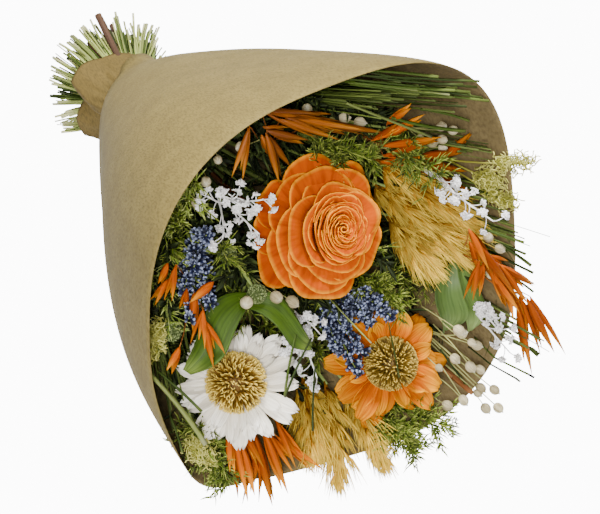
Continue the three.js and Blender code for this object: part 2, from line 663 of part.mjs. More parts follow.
function growPlume(name, stem, tip, random) {
  const steps = 9;
  for (let attempt = 0; attempt < 40; attempt += 1) {
    const path = branchPath(stem, 0, vector(...tip), random, attempt, 0.7, steps);
    const slim = slimmer(attempt);
    const swell = (i) => Math.sin(Math.PI * Math.min(1, (i + 1.2) / (steps + 2))) ** 0.8;
    const radii = path.map((_, i) => slim * mix(0.9 * TWIG, PLUME.core, swell(i)));
    const reach = (i, k) => (i < 1 ? 0 : slim * (PLUME.bristle - 1 + ((i + 2 * k) % 3)));
    if (addIfClear(name, spikyRod(path, radii, 5, 0.5, PLUME.lean, reach))) return;
  }
}

// Netted button: a knobbly ball
const BUTTON_RADIUS = 6.6;
const BUTTON_DENT = 0.9;

function growButton(name, stem, centre, random) {
  for (let attempt = 0; attempt < 20; attempt += 1) {
    const middle = vector(...centre).addScaledVector(unitVector(random), attempt * 0.4);
    const { points, faces } = shapedGeometry(new THREE.IcosahedronGeometry(BUTTON_RADIUS, 1),
      (p, i) => p.setLength(BUTTON_RADIUS - (i % 2 ? BUTTON_DENT : 0)).add(middle));
    const head = solidFrom(points, faces);
    if (isClear(head, name) && growBranch(name, stem, middle, random, { radius: 1, stray: 0 })) {
      add(name, head);
      return;
    }
  }
}

// Broad leaf: a blade folded a little along its rib, on a curved path, with a waved edge
function growLeaf(name, stem, { by, tip, up, width }, random) {
  const foot = stem.at(-1).clone().lerp(stem.at(-2), 3 / stem.at(-1).distanceTo(stem.at(-2)));
  for (let attempt = 0; attempt < 24; attempt += 1) {
    const jog = () => unitVector(random).multiplyScalar(attempt * 0.5);
    const path = new THREE.QuadraticBezierCurve3(foot, vector(...by).add(jog()),
      vector(...tip).add(jog()));
    const size = width * (1 - attempt * 0.02);
    const blade = sheet(4, 6, (u, v) => {
      const across = u * 2 - 1;
      const point = path.getPoint(v);
      const along = path.getTangent(v);
      const side = along.clone().cross(vector(...up)).normalize();
      const normal = side.clone().cross(along);
      const half = mix(0.9, size / 2, Math.sin(Math.PI * Math.min(1, v * 0.96) ** 0.85) ** 0.8);
      const rise = half * 0.22 * across ** 2 + 0.7 * Math.sin(v * 14) * across ** 2;
      return point.addScaledVector(side, across * half).addScaledVector(normal, rise);
    }, 0.8);
    if (addIfClear(name, blade)) return;
  }
}

const bouquet = new THREE.Group();
bouquet.rotation.x = Math.PI / 2 - RISE;
bouquet.position.z = TIE_HEIGHT;

function finish(name, colour, roughness) {
  const joined = nodes.get(name).length > 1 ? Manifold.union(nodes.get(name)) : nodes.get(name)[0];
  const bodies = joined.decompose().sort((a, b) => b.volume() - a.volume());
  const kept = bodies[0].simplify(SMALLEST_DETAIL);
  const { vertProperties, triVerts } = kept.getMesh();
  const geometry = new THREE.BufferGeometry();
  geometry.setAttribute('position', new THREE.BufferAttribute(new Float32Array(vertProperties), 3));
  geometry.setIndex(Array.from(triVerts));
  geometry.computeVertexNormals();
  const look = { color: colour, roughness, metalness: 0 };
  const mesh = new THREE.Mesh(geometry, new THREE.MeshStandardMaterial(look));
  mesh.name = name;
  bouquet.add(mesh);
}

function build(name, colour, roughness, solids) {
  nodes.set(name, []);
  for (const solid of solids) add(name, solid);
  finish(name, colour, roughness);
}

build('paper_wrap', 0xa98a5f, 0.85, paperWrap());
build('tie_band', 0xb9975f, 0.8, tieBand());
build('rose_petals', 0xe87a24, 0.7, rosePetals());
build('white_daisy_petals', 0xf0efec, 0.65, daisyPetals(WHITE_DAISY,
  { count: 11, rows: 4, width: 12, notch: 2.5, cup: 1.2, wave: 5, seed: 21 }));
build('orange_daisy_petals', 0xe8811f, 0.65, daisyPetals(ORANGE_DAISY,
  { count: 8, rows: 5, width: 18, notch: -1.5, cup: 2.4, wave: 9, seed: 31 }));
build('white_daisy_ball', 0xa88a2f, 0.75, daisyBall(WHITE_DAISY));
build('orange_daisy_ball', 0x9a7d22, 0.75, daisyBall(ORANGE_DAISY));

// Every stem goes in before anything grows from it
const places = tiePlaces();
const bunches = Object.entries(GRASS).map(([name, { from, ends }]) => (
  { name, ends, places: takeBunch(places, from, ends.length) }));
const stemNames = Object.keys(STEMS);
const chosen = sortStems(stemNames.map((name) => vector(...STEMS[name].top)), places);
const stems = {};
stemNames.forEach((name, i) => {
  nodes.set(name, []);
  stems[name] = growStem(name, chosen[i], STEMS[name].top, { facing: STEMS[name].facing, seed: 100 + i });
});

// Grass: blades pressed together in the tie, each one on its own way to the rim
bunches.forEach(({ name, ends, places: own }, row) => {
  nodes.set(name, []);
  own.forEach((place, k) => {
    growStem(name, place, ends[k], { seed: 300 + row * 10 + k, tip: GRASS_TIP });
    if (k) add(name, rod([own[k - 1], place], [LINK_RADIUS, LINK_RADIUS], 3));
  });
  finish(name, GRASS_COLOUR, 0.7);
});

const LEAVES = {
  broad_leaves_left: [
    { by: [-88, 22, 292], tip: [-111, -6, 290], up: [-0.25, 0.6, 0.75], width: 26 },
    { by: [-38, -10, 290], tip: [-24, -45, 290], up: [-0.1, 0.6, 0.8], width: 23 },
  ],
  broad_leaves_right: [
    { by: [86, -66, 286], tip: [70, -88, 298], up: [0.2, 0.5, 0.8], width: 20 },
    { by: [104, -64, 284], tip: [88, -90, 303], up: [0.5, 0.4, 0.8], width: 18 },
  ],
};
const PLUMES = {
  plume_upper_1: [116, -26, 284], plume_upper_2: [112, -48, 292], plume_upper_3: [74, -48, 294],
  plume_lower_1: [-51, -117, 303], plume_lower_2: [-41, -138, 316], plume_lower_3: [-8, -148, 328],
};
const BUTTONS = { button_upper: [-54, 30, 252], button_middle: [-52, 12, 281], button_left: [-108, 1, 262] };
const PODS = {
  pods_left: [[-62, 13, 285], [-41, 5, 285], [-31, -5, 285]],
  pods_upper: [[63, 62, 222], [72, 56, 226], [40, 79, 217], [-16, 82, 226]],
  pods_top: [[103, 36, 246], [118, 33, 250], [123, 39, 246], [131, 36, 250]],
  pods_right: [[113, -24, 300], [106, -47, 308], [108, -58, 316], [122, -40, 298]],
  pods_lower: [[78, -86, 305], [85, -98, 310], [67, -100, 309], [76, -124, 322], [61, -126, 322],
    [83, -126, 328], [79, -135, 336]],
};
const OATS = {
  oats_right: [[126, -72, 322], [122, -101, 345], [105, -111, 327], [88, -62, 300], [112, -48, 298],
    [111, -107, 332], [118, -90, 336]],
  oats_top: [[105, 60, 238], [137, 29, 262], [122, 15, 270], [112, 8, 276], [118, 40, 246]],
  oats_upper_left: [[-7, 65, 250], [-32, 76, 243], [22, 75, 240], [61, 64, 245], [40, 70, 238]],
  oats_bottom: [[-108, -96, 300], [-112, -108, 317], [-93, -120, 321], [-78, -122, 316], [-54, -124, 313],
    [-66, -112, 304]],
  oats_left: [[-94, 24, 272], [-107, 8, 282], [-104, -2, 304], [-125, -16, 285]],
};
const SPRIGS = {
  white_sprig_left: [[-56, 76, 249], [-40, 72, 258], [-27, 68, 268], [-58, 50, 262], [-36, 46, 270]],
  white_sprig_right: [[99, 15, 289], [105, 6, 300], [114, -6, 308]],
  white_sprig_lower: [[96, -78, 308], [101, -90, 314], [102, -106, 324]],
  white_sprig_middle: [[-17, -40, 276], [-46, -38, 290], [-35, -50, 288], [-28, -72, 289]],
};
const SPIKES = {
  blue_spikes_left: [[-74, 33, 258], [-70, 8, 272], [-98, 9, 270]],
  blue_spikes_middle: [[-3, -71, 307], [-10, -54, 293]],
  blue_spikes_right: [[32, -44, 302], [18, -48, 295]],
};
const FERNS = {
  fern_left: [[-68, 70, 230], [-100, 40, 252], [-84, 60, 240]],
  fern_top: [[58, 50, 262], [22, 64, 250], [44, 66, 256]],
  fern_right: [[84, 52, 268], [95, 32, 280]],
  fern_middle: [[46, -48, 288], [40, -40, 276]],
  fern_bottom: [[4, -137, 322], [12, -144, 336], [44, -140, 326]],
  fern_lower_left: [[-119, -66, 285], [-115, -96, 307], [-118, -80, 298]],
};
const MOSS = {
  moss_right: [[134, 6, 286], [145, 28, 310], [136, -8, 300]],
  moss_left: [[-122, 11, 268], [-128, 0, 270]],
  moss_lower: [[-127, -68, 298], [-121, -77, 299]],
};

let seed = 200;
const grow = (table, action) => Object.entries(table).forEach(([name, what]) => {
  seed += 1;
  action(name, stems[name], what, seeded(seed));
});
grow(LEAVES, (name, stem, leaves, random) => leaves.forEach((leaf) => growLeaf(name, stem, leaf, random)));
grow(PLUMES, growPlume);
grow(BUTTONS, growButton);
grow(PODS, growPods);
grow(OATS, growOats);
const spiky = (settings) => (name, stem, tips, random) => growSpiky(name, stem, tips, random, settings);
grow(SPIKES, spiky({ steps: 7, sides: 4, core: 2.6, from: 0.28, spike: 4.2, lean: 0.7 }));
grow(SPRIGS, spiky({ steps: 5, core: 0.9, from: 0.35, spike: 5, lean: 0.6 }));
grow(FERNS, spiky({ steps: 5, core: 0.9, from: 0.35, spike: 9, lean: 0.9 }));
grow(MOSS, spiky({ steps: 5, core: 1.0, from: 0.3, spike: 7, lean: 0.5 }));
for (const name of stemNames) finish(name, STEMS[name].colour, 0.75);

// The origin goes to the middle of the underside of the whole
bouquet.updateMatrixWorld(true);
const bounds = new THREE.Box3().setFromObject(bouquet, true);
const middle = bounds.getCenter(vector(0, 0, 0));
bouquet.position.set(-middle.x, -middle.y, TIE_HEIGHT - bounds.min.z);

export default bouquet;
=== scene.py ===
"""A mixed bouquet of dried and cut flowers, lying on its side in a cone of brown kraft paper.

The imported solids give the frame. Each flower, spray and leaf of it is dressed here with its finer
petals, florets, needles and bristles. Lengths are in millimetres until a mesh is made.
"""

import math

import bpy
import numpy as np
from mathutils import Matrix, Vector


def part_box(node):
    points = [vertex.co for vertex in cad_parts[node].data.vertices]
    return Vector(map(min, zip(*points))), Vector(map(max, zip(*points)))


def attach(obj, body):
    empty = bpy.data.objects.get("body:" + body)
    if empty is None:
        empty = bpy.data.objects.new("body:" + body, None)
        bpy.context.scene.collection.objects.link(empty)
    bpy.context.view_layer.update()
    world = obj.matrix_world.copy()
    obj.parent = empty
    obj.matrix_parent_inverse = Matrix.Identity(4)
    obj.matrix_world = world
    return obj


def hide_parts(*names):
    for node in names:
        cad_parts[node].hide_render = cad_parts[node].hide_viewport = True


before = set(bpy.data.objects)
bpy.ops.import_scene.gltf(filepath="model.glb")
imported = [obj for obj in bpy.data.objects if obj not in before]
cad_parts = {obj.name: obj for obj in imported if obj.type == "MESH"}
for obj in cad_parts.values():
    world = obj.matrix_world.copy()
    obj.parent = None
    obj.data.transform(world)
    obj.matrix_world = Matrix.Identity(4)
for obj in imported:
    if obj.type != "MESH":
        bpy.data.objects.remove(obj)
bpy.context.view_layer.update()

# How the bouquet lies
# It rests on its paper with the mouth raised, and its own frame starts in the tie: Z runs up the stems
# to the flowers and Y is the side that is up.
RISE = math.radians(20.2)
tie_low, tie_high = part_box("tie_band")
tie_centre = np.array((tie_low + tie_high) / 2)
bouquet_axes = np.array([
    [1, 0, 0],
    [0, math.sin(RISE), math.cos(RISE)],
    [0, -math.cos(RISE), math.sin(RISE)],
])


def as_it_lies(points):
    """Points in the bouquet's own frame, in millimetres, turned and moved to where it lies, in metres."""
    return np.asarray(points, float) @ bouquet_axes / 1000 + tie_centre


def in_bouquet(points):
    """The way back: where a point of the frame is in the bouquet, in millimetres."""
    return (np.asarray(points, float) - tie_centre) @ bouquet_axes.T * 1000


# Camera
# A long lens, held a little above the mouth on its left, so that the flowers face it and the cut
# stems show behind the paper.
VIEW_RIGHT = Vector((0.8471, -0.1918, 0.4956))
VIEW_BACK = Vector((-0.3048, 0.5886, 0.7489))
VIEW_TARGET = (0, 0, 183.66)
VIEW_DISTANCE = 1.3
camera_data = bpy.data.cameras.new("camera")
camera_data.sensor_width = 36
camera_data.lens = 112.3
camera_data.shift_x = 0.0768
camera_data.shift_y = -0.0839
camera_data.clip_end = 20
camera = bpy.data.objects.new("camera", camera_data)
bpy.context.scene.collection.objects.link(camera)
back = Vector(np.array(VIEW_BACK) @ bouquet_axes).normalized()
right = Vector(np.array(VIEW_RIGHT) @ bouquet_axes).normalized()
up = back.cross(right).normalized()
right = up.cross(back)
place = Vector(as_it_lies(VIEW_TARGET)) + back * VIEW_DISTANCE
camera.matrix_world = Matrix.Translation(place) @ Matrix((right, up, back)).transposed().to_4x4()
bpy.context.scene.camera = camera

# Kraft paper cone
# One wide sheet of brown kraft paper is rolled round the bunch, its long edge lapped over its start,
# and stands free of the gathered neck like a collar.
MOUTH_RADIUS = 149.8
MOUTH_CORNER = 7.8
MOUTH_CORNER_TURN = math.radians(32.5)
CONE_LENGTH = 296
CONE_FOOT = 30
COLLAR_EDGE = {0: -14, 34: -18, 70: -12, 95: -4, 118: 12, 150: 14, 180: 11, 205: 8, 240: 4, 300: -2,
               360: -14}
COLLAR_FLARE = 4.5
COLLAR_FADE = 18
LAP_TURN = 236
LAP_WIDTH = 28
SHEET = 0.5  # thickness of the paper
PAPER_CLEARANCE = 1.4
TABLE_CLEARANCE = 0.6
NECK = 25.3
SKIRT_START = 6
SKIRT_END = -27
RIDGE_TWIST = 0.012
WIDENING_START = 4
WIDENING_LENGTH = 40
SKIRT_RIDGES = {0: 31, 40: 30, 66: 29, 88: 30.5, 104: 32, 127: 40, 147: 44, 168: 32.5, 190: 42.5, 205: 45,
                229: 50, 240: 51, 262: 43, 280: 36, 310: 34, 335: 33, 360: 31}


def rim_length(turn):
    """Distance of the rim from the tie: it is cut on a slant, with waves round the mouth."""
    return (CONE_LENGTH - 4.3 * np.cos(turn) - 5.5 * np.sin(turn)
            - 2.1 * np.cos(2 * turn) - 9.2 * np.sin(2 * turn))


def cone_radius(turn, z):
    """Radius of the cone: it grows with a slightly swelling curve to a soft four-cornered mouth."""
    under = np.maximum(0, -np.sin(turn)) ** 7
    belly = 1.39 - 0.15 * np.cos(turn) - 0.06 * np.sin(turn)
    belly = belly + (1.12 - belly) * under
    mouth = MOUTH_RADIUS + MOUTH_CORNER * np.cos(4 * (turn - MOUTH_CORNER_TURN))
    share = np.clip(z / rim_length(turn), 0, 1)
    return (CONE_FOOT + (mouth - CONE_FOOT) * (1 - (1 - share) ** belly)
            + COLLAR_FLARE * np.exp(-np.maximum(z, 0) / COLLAR_FADE))


def read_off(table, degrees):
    """The value at a turn in degrees, read off a table of turns and values."""
    return np.interp(degrees, list(table), list(table.values()))


def neck_shares(z):
    """How far a place is down the skirt behind the tie and how far up into the cone, each from 0 to 1."""
    return (np.clip((SKIRT_START - z) / (SKIRT_START - SKIRT_END), 0, 1),
            np.clip((z - WIDENING_START) / WIDENING_LENGTH, 0, 1))


def neck_radius(turn, z):
    """Radius of the gathered paper: least in the tie, running straight from ridge to ridge in the skirt
    behind it, and widening into the cone in front of it. The ridges twist a little."""
    down, rise = neck_shares(z)
    ridge = read_off(SKIRT_RIDGES, np.degrees(turn - RIDGE_TWIST * (z - SKIRT_END)) % 360)
    radius = NECK + (ridge - NECK) * down ** 0.75
    return radius + (cone_radius(turn, np.maximum(z, 0)) - 4 - NECK) * rise


def table_line(z, clearance):
    """How low a point may be, at its distance from the tie, to stay that far above the table."""
    return (clearance - tie_centre[2] * 1000 - z * math.sin(RISE)) / math.cos(RISE)


def on_table(points, clearance=0.0):
    """Points pressed flat where they would go through the table."""
    points[..., 1] = np.maximum(points[..., 1], table_line(points[..., 2], clearance))
    return points


def round_the_axis(turn, radius, z):
    """Points at a turn and a radius round the stems, z from the tie: across by cosine, up by sine."""
    return np.stack([radius * np.cos(turn), radius * np.sin(turn), z + 0 * turn], -1)


def walled_sheet(front, back):
    """A closed sheet from its two faces, each a grid of points: both skins and a wall along each edge."""
    rows, columns = front.shape[:2]
    number = np.arange(rows * columns).reshape(rows, columns)
    behind = number + rows * columns

    def squares(a):
        """The four corner numbers of every square of a grid, in turn."""
        return np.stack([a[:-1, :-1], a[:-1, 1:], a[1:, 1:], a[1:, :-1]], -1).reshape(-1, 4)

    edge = np.concatenate([number[0, :-1], number[:-1, -1], number[-1, :0:-1], number[:0:-1, 0]])
    after = np.roll(edge, -1)
    wall = np.stack([after, edge, edge + rows * columns, after + rows * columns], -1)
    faces = np.concatenate([squares(number), squares(behind)[:, ::-1], wall])
    return np.concatenate([front.reshape(-1, 3), back.reshape(-1, 3)]), faces


def held_in_paper(points):
    """Points of the flowers, drawn in to the cone or the gathered neck where they would go through it, and
    lifted where they would go through the table."""
    radius = np.maximum(np.hypot(points[:, 0], points[:, 1]), 0.001)
    turn, z = np.arctan2(points[:, 1], points[:, 0]), points[:, 2]
    most = np.where(z > 20, cone_radius(turn, z), neck_radius(turn, z)) - PAPER_CLEARANCE
    held = np.where((z > SKIRT_END - 2) & (z < rim_length(turn) + 2), np.minimum(radius, most), radius)
    y = np.maximum(points[:, 1] * held / radius, table_line(z, TABLE_CLEARANCE))
    return np.stack([points[:, 0] * held / radius, y, z], -1)


def make_piece(name, parts, materials, slot, nodes=()):
    """One mesh from many parts. A part is its points, its faces as arrays of corner numbers, the number
    of its material, and named values for its points, which the materials read."""
    starts = np.cumsum([0] + [len(part["points"]) for part in parts])
    loops, totals, finish = [], [], []
    for start, part in zip(starts, parts):
        for faces in part["faces"]:
            loops.append((faces + start).ravel())
            totals.append(np.full(len(faces), faces.shape[1]))
            finish.append(np.full(len(faces), part.get("finish", 0)))
    loops, totals, finish = np.concatenate(loops), np.concatenate(totals), np.concatenate(finish)
    points = np.concatenate([part["points"] for part in parts])
    points = as_it_lies(points if slot in ("kraft_paper", "jute_tie") else held_in_paper(points))
    mesh = bpy.data.meshes.new(name)
    mesh.vertices.add(len(points))
    mesh.vertices.foreach_set("co", points.astype(np.float32).ravel())
    mesh.loops.add(len(loops))
    mesh.loops.foreach_set("vertex_index", loops.astype(np.int32))
    mesh.polygons.add(len(totals))
    mesh.polygons.foreach_set("loop_start", np.concatenate([[0], np.cumsum(totals)[:-1]]).astype(np.int32))
    mesh.polygons.foreach_set("material_index", finish.astype(np.int32))
    mesh.polygons.foreach_set("use_smooth", np.ones(len(totals), bool))
    for value in sorted({key for part in parts for key in part.get("values", {})}):
        data = [np.broadcast_to(part.get("values", {}).get(value, 0.0), len(part["points"]))
                for part in parts]
        layer = mesh.attributes.new(value, "FLOAT", "POINT")
        layer.data.foreach_set("value", np.concatenate(data).astype(np.float32))
    for material in materials:
        mesh.materials.append(material)
    mesh.update(calc_edges=True)
    piece = bpy.data.objects.new(name, mesh)
    bpy.context.scene.collection.objects.link(piece)
    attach(piece, "root")
    if nodes:
        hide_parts(*nodes)
    return piece


def colour(web):
    """A colour written as on the web, as the linear values that a shader takes."""
    parts = np.array([int(web[i:i + 2], 16) / 255 for i in (1, 3, 5)])
    linear = np.where(parts < 0.04045, parts / 12.92, ((parts + 0.055) / 1.055) ** 2.4)
    return (*linear, 1.0)


def new_material(name, roughness, specular):
    """A plain shader with its own roughness and sheen, to which each finish adds its nodes."""
    material = bpy.data.materials.new(name)
    material.use_nodes = True
    shader = material.node_tree.nodes["Principled BSDF"]
    shader.inputs["Roughness"].default_value = roughness
    shader.inputs["Specular IOR Level"].default_value = specular
    return material, material.node_tree, shader


def add_bump(tree, shader, height, distance, strength=1.0):
    """Bends the shader's normal by a height whose full depth is given in metres."""
    bump = tree.nodes.new("ShaderNodeBump")
    bump.inputs["Strength"].default_value = strength
    bump.inputs["Distance"].default_value = distance
    tree.links.new(height, bump.inputs["Height"])
    tree.links.new(bump.outputs["Normal"], shader.inputs["Normal"])


def new_group(name, colours, values=()):
    """A node group that takes these colours and values, and gives one colour and one height."""
    group = bpy.data.node_groups.new(name, "ShaderNodeTree")
    sockets = [(socket, "INPUT", "NodeSocketColor") for socket in colours]
    sockets += [(socket, "INPUT", "NodeSocketFloat") for socket in values]
    sockets += [("Colour", "OUTPUT", "NodeSocketColor"), ("Height", "OUTPUT", "NodeSocketFloat")]
    for socket, side, kind in sockets:
        group.interface.new_socket(socket, in_out=side, socket_type=kind)
    return group, group.nodes.new("NodeGroupInput").outputs, group.nodes.new("NodeGroupOutput").inputs


def calculate(tree, operation, first, second):
    """One sum or product of a value and another value or a plain number."""
    node = tree.nodes.new("ShaderNodeMath")
    node.operation = operation
    tree.links.new(first, node.inputs[0])
    if isinstance(second, float):
        node.inputs[1].default_value = second
    else:
        tree.links.new(second, node.inputs[1])
    return node.outputs["Value"]


def ramp(tree, source, low, high):
    """A value spread out so that the low one becomes 0 and the high one 1."""
    spread = tree.nodes.new("ShaderNodeMapRange")
    spread.inputs["From Min"].default_value = low
    spread.inputs["From Max"].default_value = high
    tree.links.new(source, spread.inputs["Value"])
    return spread.outputs["Result"]


def blend(tree, mask, first, second):
    """The first colour where the mask is 0 and the second where it is 1."""
    mix = tree.nodes.new("ShaderNodeMix")
    mix.data_type = "RGBA"
    for source, socket in ((mask, "Factor"), (first, "A"), (second, "B")):
        tree.links.new(source, mix.inputs[socket])
    return mix.outputs["Result"]


def kraft_group():
    """Kraft paper: long pulp fibres, fine dark specks and faint clouds, in two brown tones."""
    group, given, result = new_group("kraft_fibres", ("Paper", "Deep", "Fleck"))
    where = group.nodes.new("ShaderNodeTexCoord").outputs["Object"]

    def noise(scale, detail, low, high, stretch=(1, 1, 1)):
        """Noise at the sheet's own places, squeezed along some axes into fibres."""
        squeeze = group.nodes.new("ShaderNodeMapping")
        squeeze.inputs["Scale"].default_value = stretch
        texture = group.nodes.new("ShaderNodeTexNoise")
        texture.inputs["Scale"].default_value = scale
        texture.inputs["Detail"].default_value = detail
        group.links.new(where, squeeze.inputs["Vector"])
        group.links.new(squeeze.outputs["Vector"], texture.inputs["Vector"])
        return ramp(group, texture.outputs["Fac"], low, high)

    cloud = noise(60, 2, 0.3, 1.2)
    fibre = noise(1100, 4, 0.42, 0.75, (1, 0.3, 0.3))
    speck = calculate(group, "MULTIPLY", noise(1500, 2, 0.62, 0.78), 0.6)
    cross = noise(1300, 3, 0.45, 0.75, (0.3, 1, 1))
    clouded = blend(group, cloud, given["Paper"], given["Deep"])
    toned = blend(group, fibre, clouded, given["Deep"])
    group.links.new(blend(group, speck, toned, given["Fleck"]), result["Colour"])
    group.links.new(calculate(group, "ADD", fibre, cross), result["Height"])
    return group


def group_finish(name, group, given, roughness, specular, depth, strength):
    """A material whose colour and bump come from a shared group, with its own colours and values."""
    material, tree, shader = new_material(name, roughness, specular)
    inner = tree.nodes.new("ShaderNodeGroup")
    inner.node_tree = group
    for socket, value in given.items():
        inner.inputs[socket].default_value = colour(value) if isinstance(value, str) else value
    tree.links.new(inner.outputs["Colour"], shader.inputs["Base Color"])
    if depth:
        add_bump(tree, shader, inner.outputs["Height"], depth, strength)
    return material


KRAFT = kraft_group()


def kraft_finish(name, paper, deep, fleck):
    """Matt kraft paper, with a little bump from its fibres."""
    return group_finish(name, KRAFT, {"Paper": paper, "Deep": deep, "Fleck": fleck}, 0.82, 0.2, 0.00012, 0.5)


kraft_outside = kraft_finish("kraft_outside", "#766737", "#574a25", "#3e3317")
kraft_inside = kraft_finish("kraft_inside", "#766643", "#574a2f", "#443821")


def towards(turn, middle, sharpness):
    """How much a place faces a given turn: 1 there, and nothing a quarter round from it."""
    return np.clip(np.cos(turn - middle), 0, 1) ** sharpness


def cone_sheet():
    """The rolled sheet: its turn runs from the lapped edge once round and on under the lap, and its
    length from the slanting collar to the rim. Low waves and soft dents keep it from being a true cone,
    and it hugs the gathered neck on the upper side."""
    turn = np.radians(LAP_TURN + np.linspace(0, 360 + LAP_WIDTH - 2, 236))[None, :]
    share = np.linspace(0, 1, 52)[:, None] ** 0.9
    collar = read_off(COLLAR_EDGE, np.degrees(turn) % 360)
    z = collar + (rim_length(turn) - collar) * share
    past = np.degrees(turn) - LAP_TURN
    lap = np.where(past < LAP_WIDTH, 0.7 * (1 - past / LAP_WIDTH), 0)
    lap = lap - 0.75 * np.clip((past - 350) / 8, 0, 1)
    dent = (0.9 * np.sin(3 * turn + 0.02 * z) * np.sin(z / 43 + 1.3)
            + 0.5 * np.sin(7 * turn - z / 31)) * np.clip(z / 60, 0, 1) * (1 - 0.6 * share)
    hug = towards(turn, 2.35, 2) * np.exp(-np.maximum(z, 0) / 26)
    puff = towards(turn, 1.05, 2) * np.exp(-((z - 60) / np.where(z < 60, 48, 85)) ** 2)
    tuck = towards(turn, 2.95, 4) * np.exp(-((z - 112) / 55) ** 2)
    corner = towards(turn, 3.84, 60) * share ** 6
    flat = towards(turn, 3.42, 20) * share ** 3
    radius = (cone_radius(turn, z) + lap - 0.5 - 6.5 * hug + 5.5 * puff - 4 * tuck + 9 * corner - 6 * flat
              + dent * np.clip(np.sin(turn) + 1.0, 0, 1))
    outer = on_table(round_the_axis(turn, radius, z))
    inner = on_table(round_the_axis(turn, radius - SHEET, z), SHEET)
    return outer, inner


outer, inner = cone_sheet()
cone_points, cone_faces = walled_sheet(outer, inner)
cone = {"points": cone_points, "faces": [cone_faces]}
cone_piece = make_piece("kraft_cone", [cone], [kraft_outside, kraft_inside], "kraft_paper", ["paper_wrap"])
skin = (outer.shape[0] - 1) * (outer.shape[1] - 1)
inside_faces = np.zeros(len(cone_faces), np.int32)
inside_faces[skin:2 * skin] = 1
cone_piece.data.polygons.foreach_set("material_index", inside_faces)

# Gathered neck
# Below the cone the same paper is squeezed round the stems by the tie, and bursts out behind it in a
# short skirt of sharp folds and flat facets, open for the cut stems.
POCKET = 36
# The gathered paper is the same kraft as the cone in darker, browner colours: painted shade in the skirt and
# behind the tie.
painted_shade_kraft = kraft_finish("painted_shade_kraft", "#625128", "#493d1e", "#352b14")


def gathered_neck():
    """The gathered paper's two faces: to the neck's radius come fine pleats that fade away from the tie and,
    in the skirt, slanting creases and a ragged edge."""
    turn = np.linspace(0, 2 * np.pi, 216, endpoint=False)[None, :]
    z = np.linspace(SKIRT_END, POCKET, 34)[:, None]
    down, rise = neck_shares(z)
    radius = neck_radius(turn, z)
    pleat = (np.abs((turn * 17 / (2 * np.pi) + 0.03 * z) % 1 - 0.5)
             + np.abs((turn * 29 / (2 * np.pi)) % 1 - 0.5))
    radius = (radius + 1.6 * (pleat - 0.5) * (1 - down) * (1 - rise)
              + 0.3 * pleat * down * (1 - down) * 4 - 0.4)
    crease = np.abs(np.sin(3 * turn + 0.11 * z + 0.4)) + 0.2 * np.abs(np.sin(7 * turn - 0.17 * z))
    radius = np.maximum(radius + (0.9 * crease - 0.7) * down, NECK - 0.4)
    ragged = z + 2.5 * np.sin(2 * turn + 1) * down + 1.2 * np.sin(5 * turn) * down
    outer = on_table(round_the_axis(turn, radius, ragged))
    inner = on_table(round_the_axis(turn, radius - SHEET, ragged), SHEET)
    return outer, inner[::-1]


def closed_ring(grid):
    """A closed ring from a grid of points whose rows and columns both come round to their start."""
    rows, columns = grid.shape[:2]
    number = np.arange(rows * columns).reshape(rows, columns)
    below, after = np.roll(number, -1, 0), np.roll(number, -1, 1)
    faces = np.stack([number, after, np.roll(below, -1, 1), below], -1).reshape(-1, 4)
    return grid.reshape(-1, 3), faces


neck_points, neck_faces = closed_ring(np.concatenate(gathered_neck()))
make_piece("gathered_neck", [{"points": neck_points, "faces": [neck_faces]}], [painted_shade_kraft], "kraft_paper")

# Tie
# Thin jute twine is wound five times round all the stems inside the neck, in the place of the plain
# band. Its two-ply twist shows in light and dark slants.
TWINE = 1.1
TWINE_TURNS = 5
TWINE_RADIUS = 23.9
TWINE_REACH = 4.4  # half the width of the winding


def unit(rows, least=0.0):
    """Directions divided by their lengths, to which a least one is added where some may be nothing."""
    return rows / (np.linalg.norm(rows, axis=-1, keepdims=True) + least)


def strands(paths, wide, thick=None, section=None, up=(0, 1, 0.3), cup=0.0, finish=0, **values):
    """Closed strands, all at once. A section, in half widths and half thicknesses, is carried along each
    path; 'cup' lifts its two edges by that share of the half width. Paths are numbered strand, station.
    Every strand gets its place along itself, its place across and any other value that is named."""
    paths = np.asarray(paths, float)
    count, stations = paths.shape[:2]
    section = ROUND[3] if section is None else section
    wide = np.broadcast_to(np.asarray(wide, float), (count, stations))[..., None, None]
    if thick is None:
        thick = wide
    else:
        thick = np.broadcast_to(np.asarray(thick, float), (count, stations))[..., None, None]
    way = unit(np.gradient(paths, axis=1), TINY)
    up = np.broadcast_to(np.asarray(up, float).reshape(-1, 1, 3), way.shape)
    side = unit(np.cross(up, way), TINY)
    normal = np.cross(way, side)
    a, b = section[:, :1], section[:, 1:]
    lift = np.asarray(cup, float).reshape(-1, 1, 1, 1) * a ** 2 * wide
    points = paths[:, :, None] + side[:, :, None] * a * wide + normal[:, :, None] * (b * thick + lift)
    corners = len(section)
    number = np.arange(count * stations * corners).reshape(count, stations, corners)
    after = np.roll(number, -1, 2)
    walls = np.stack([number[:, :-1], after[:, :-1], after[:, 1:], number[:, 1:]], -1).reshape(-1, 4)
    caps = np.concatenate([number[:, 0, ::-1], number[:, -1]])
    grid = np.ones((count, stations, corners))
    found = {"along": grid * np.linspace(0, 1, stations)[:, None], "across": grid * section[:, 0]}
    for name, value in values.items():
        value = np.asarray(value, float)
        found[name] = grid * (value.reshape(-1, 1, 1) if value.ndim < 2 else value[..., None])
    return {"points": points.reshape(-1, 3), "faces": [walls, caps], "finish": finish,
            "values": {name: value.ravel() for name, value in found.items()}}


def round_section(sides):
    """A round section with this many corners."""
    turn = 2 * np.pi * (np.arange(sides) + 0.5) / sides
    return np.stack([np.cos(turn), np.sin(turn)], -1)


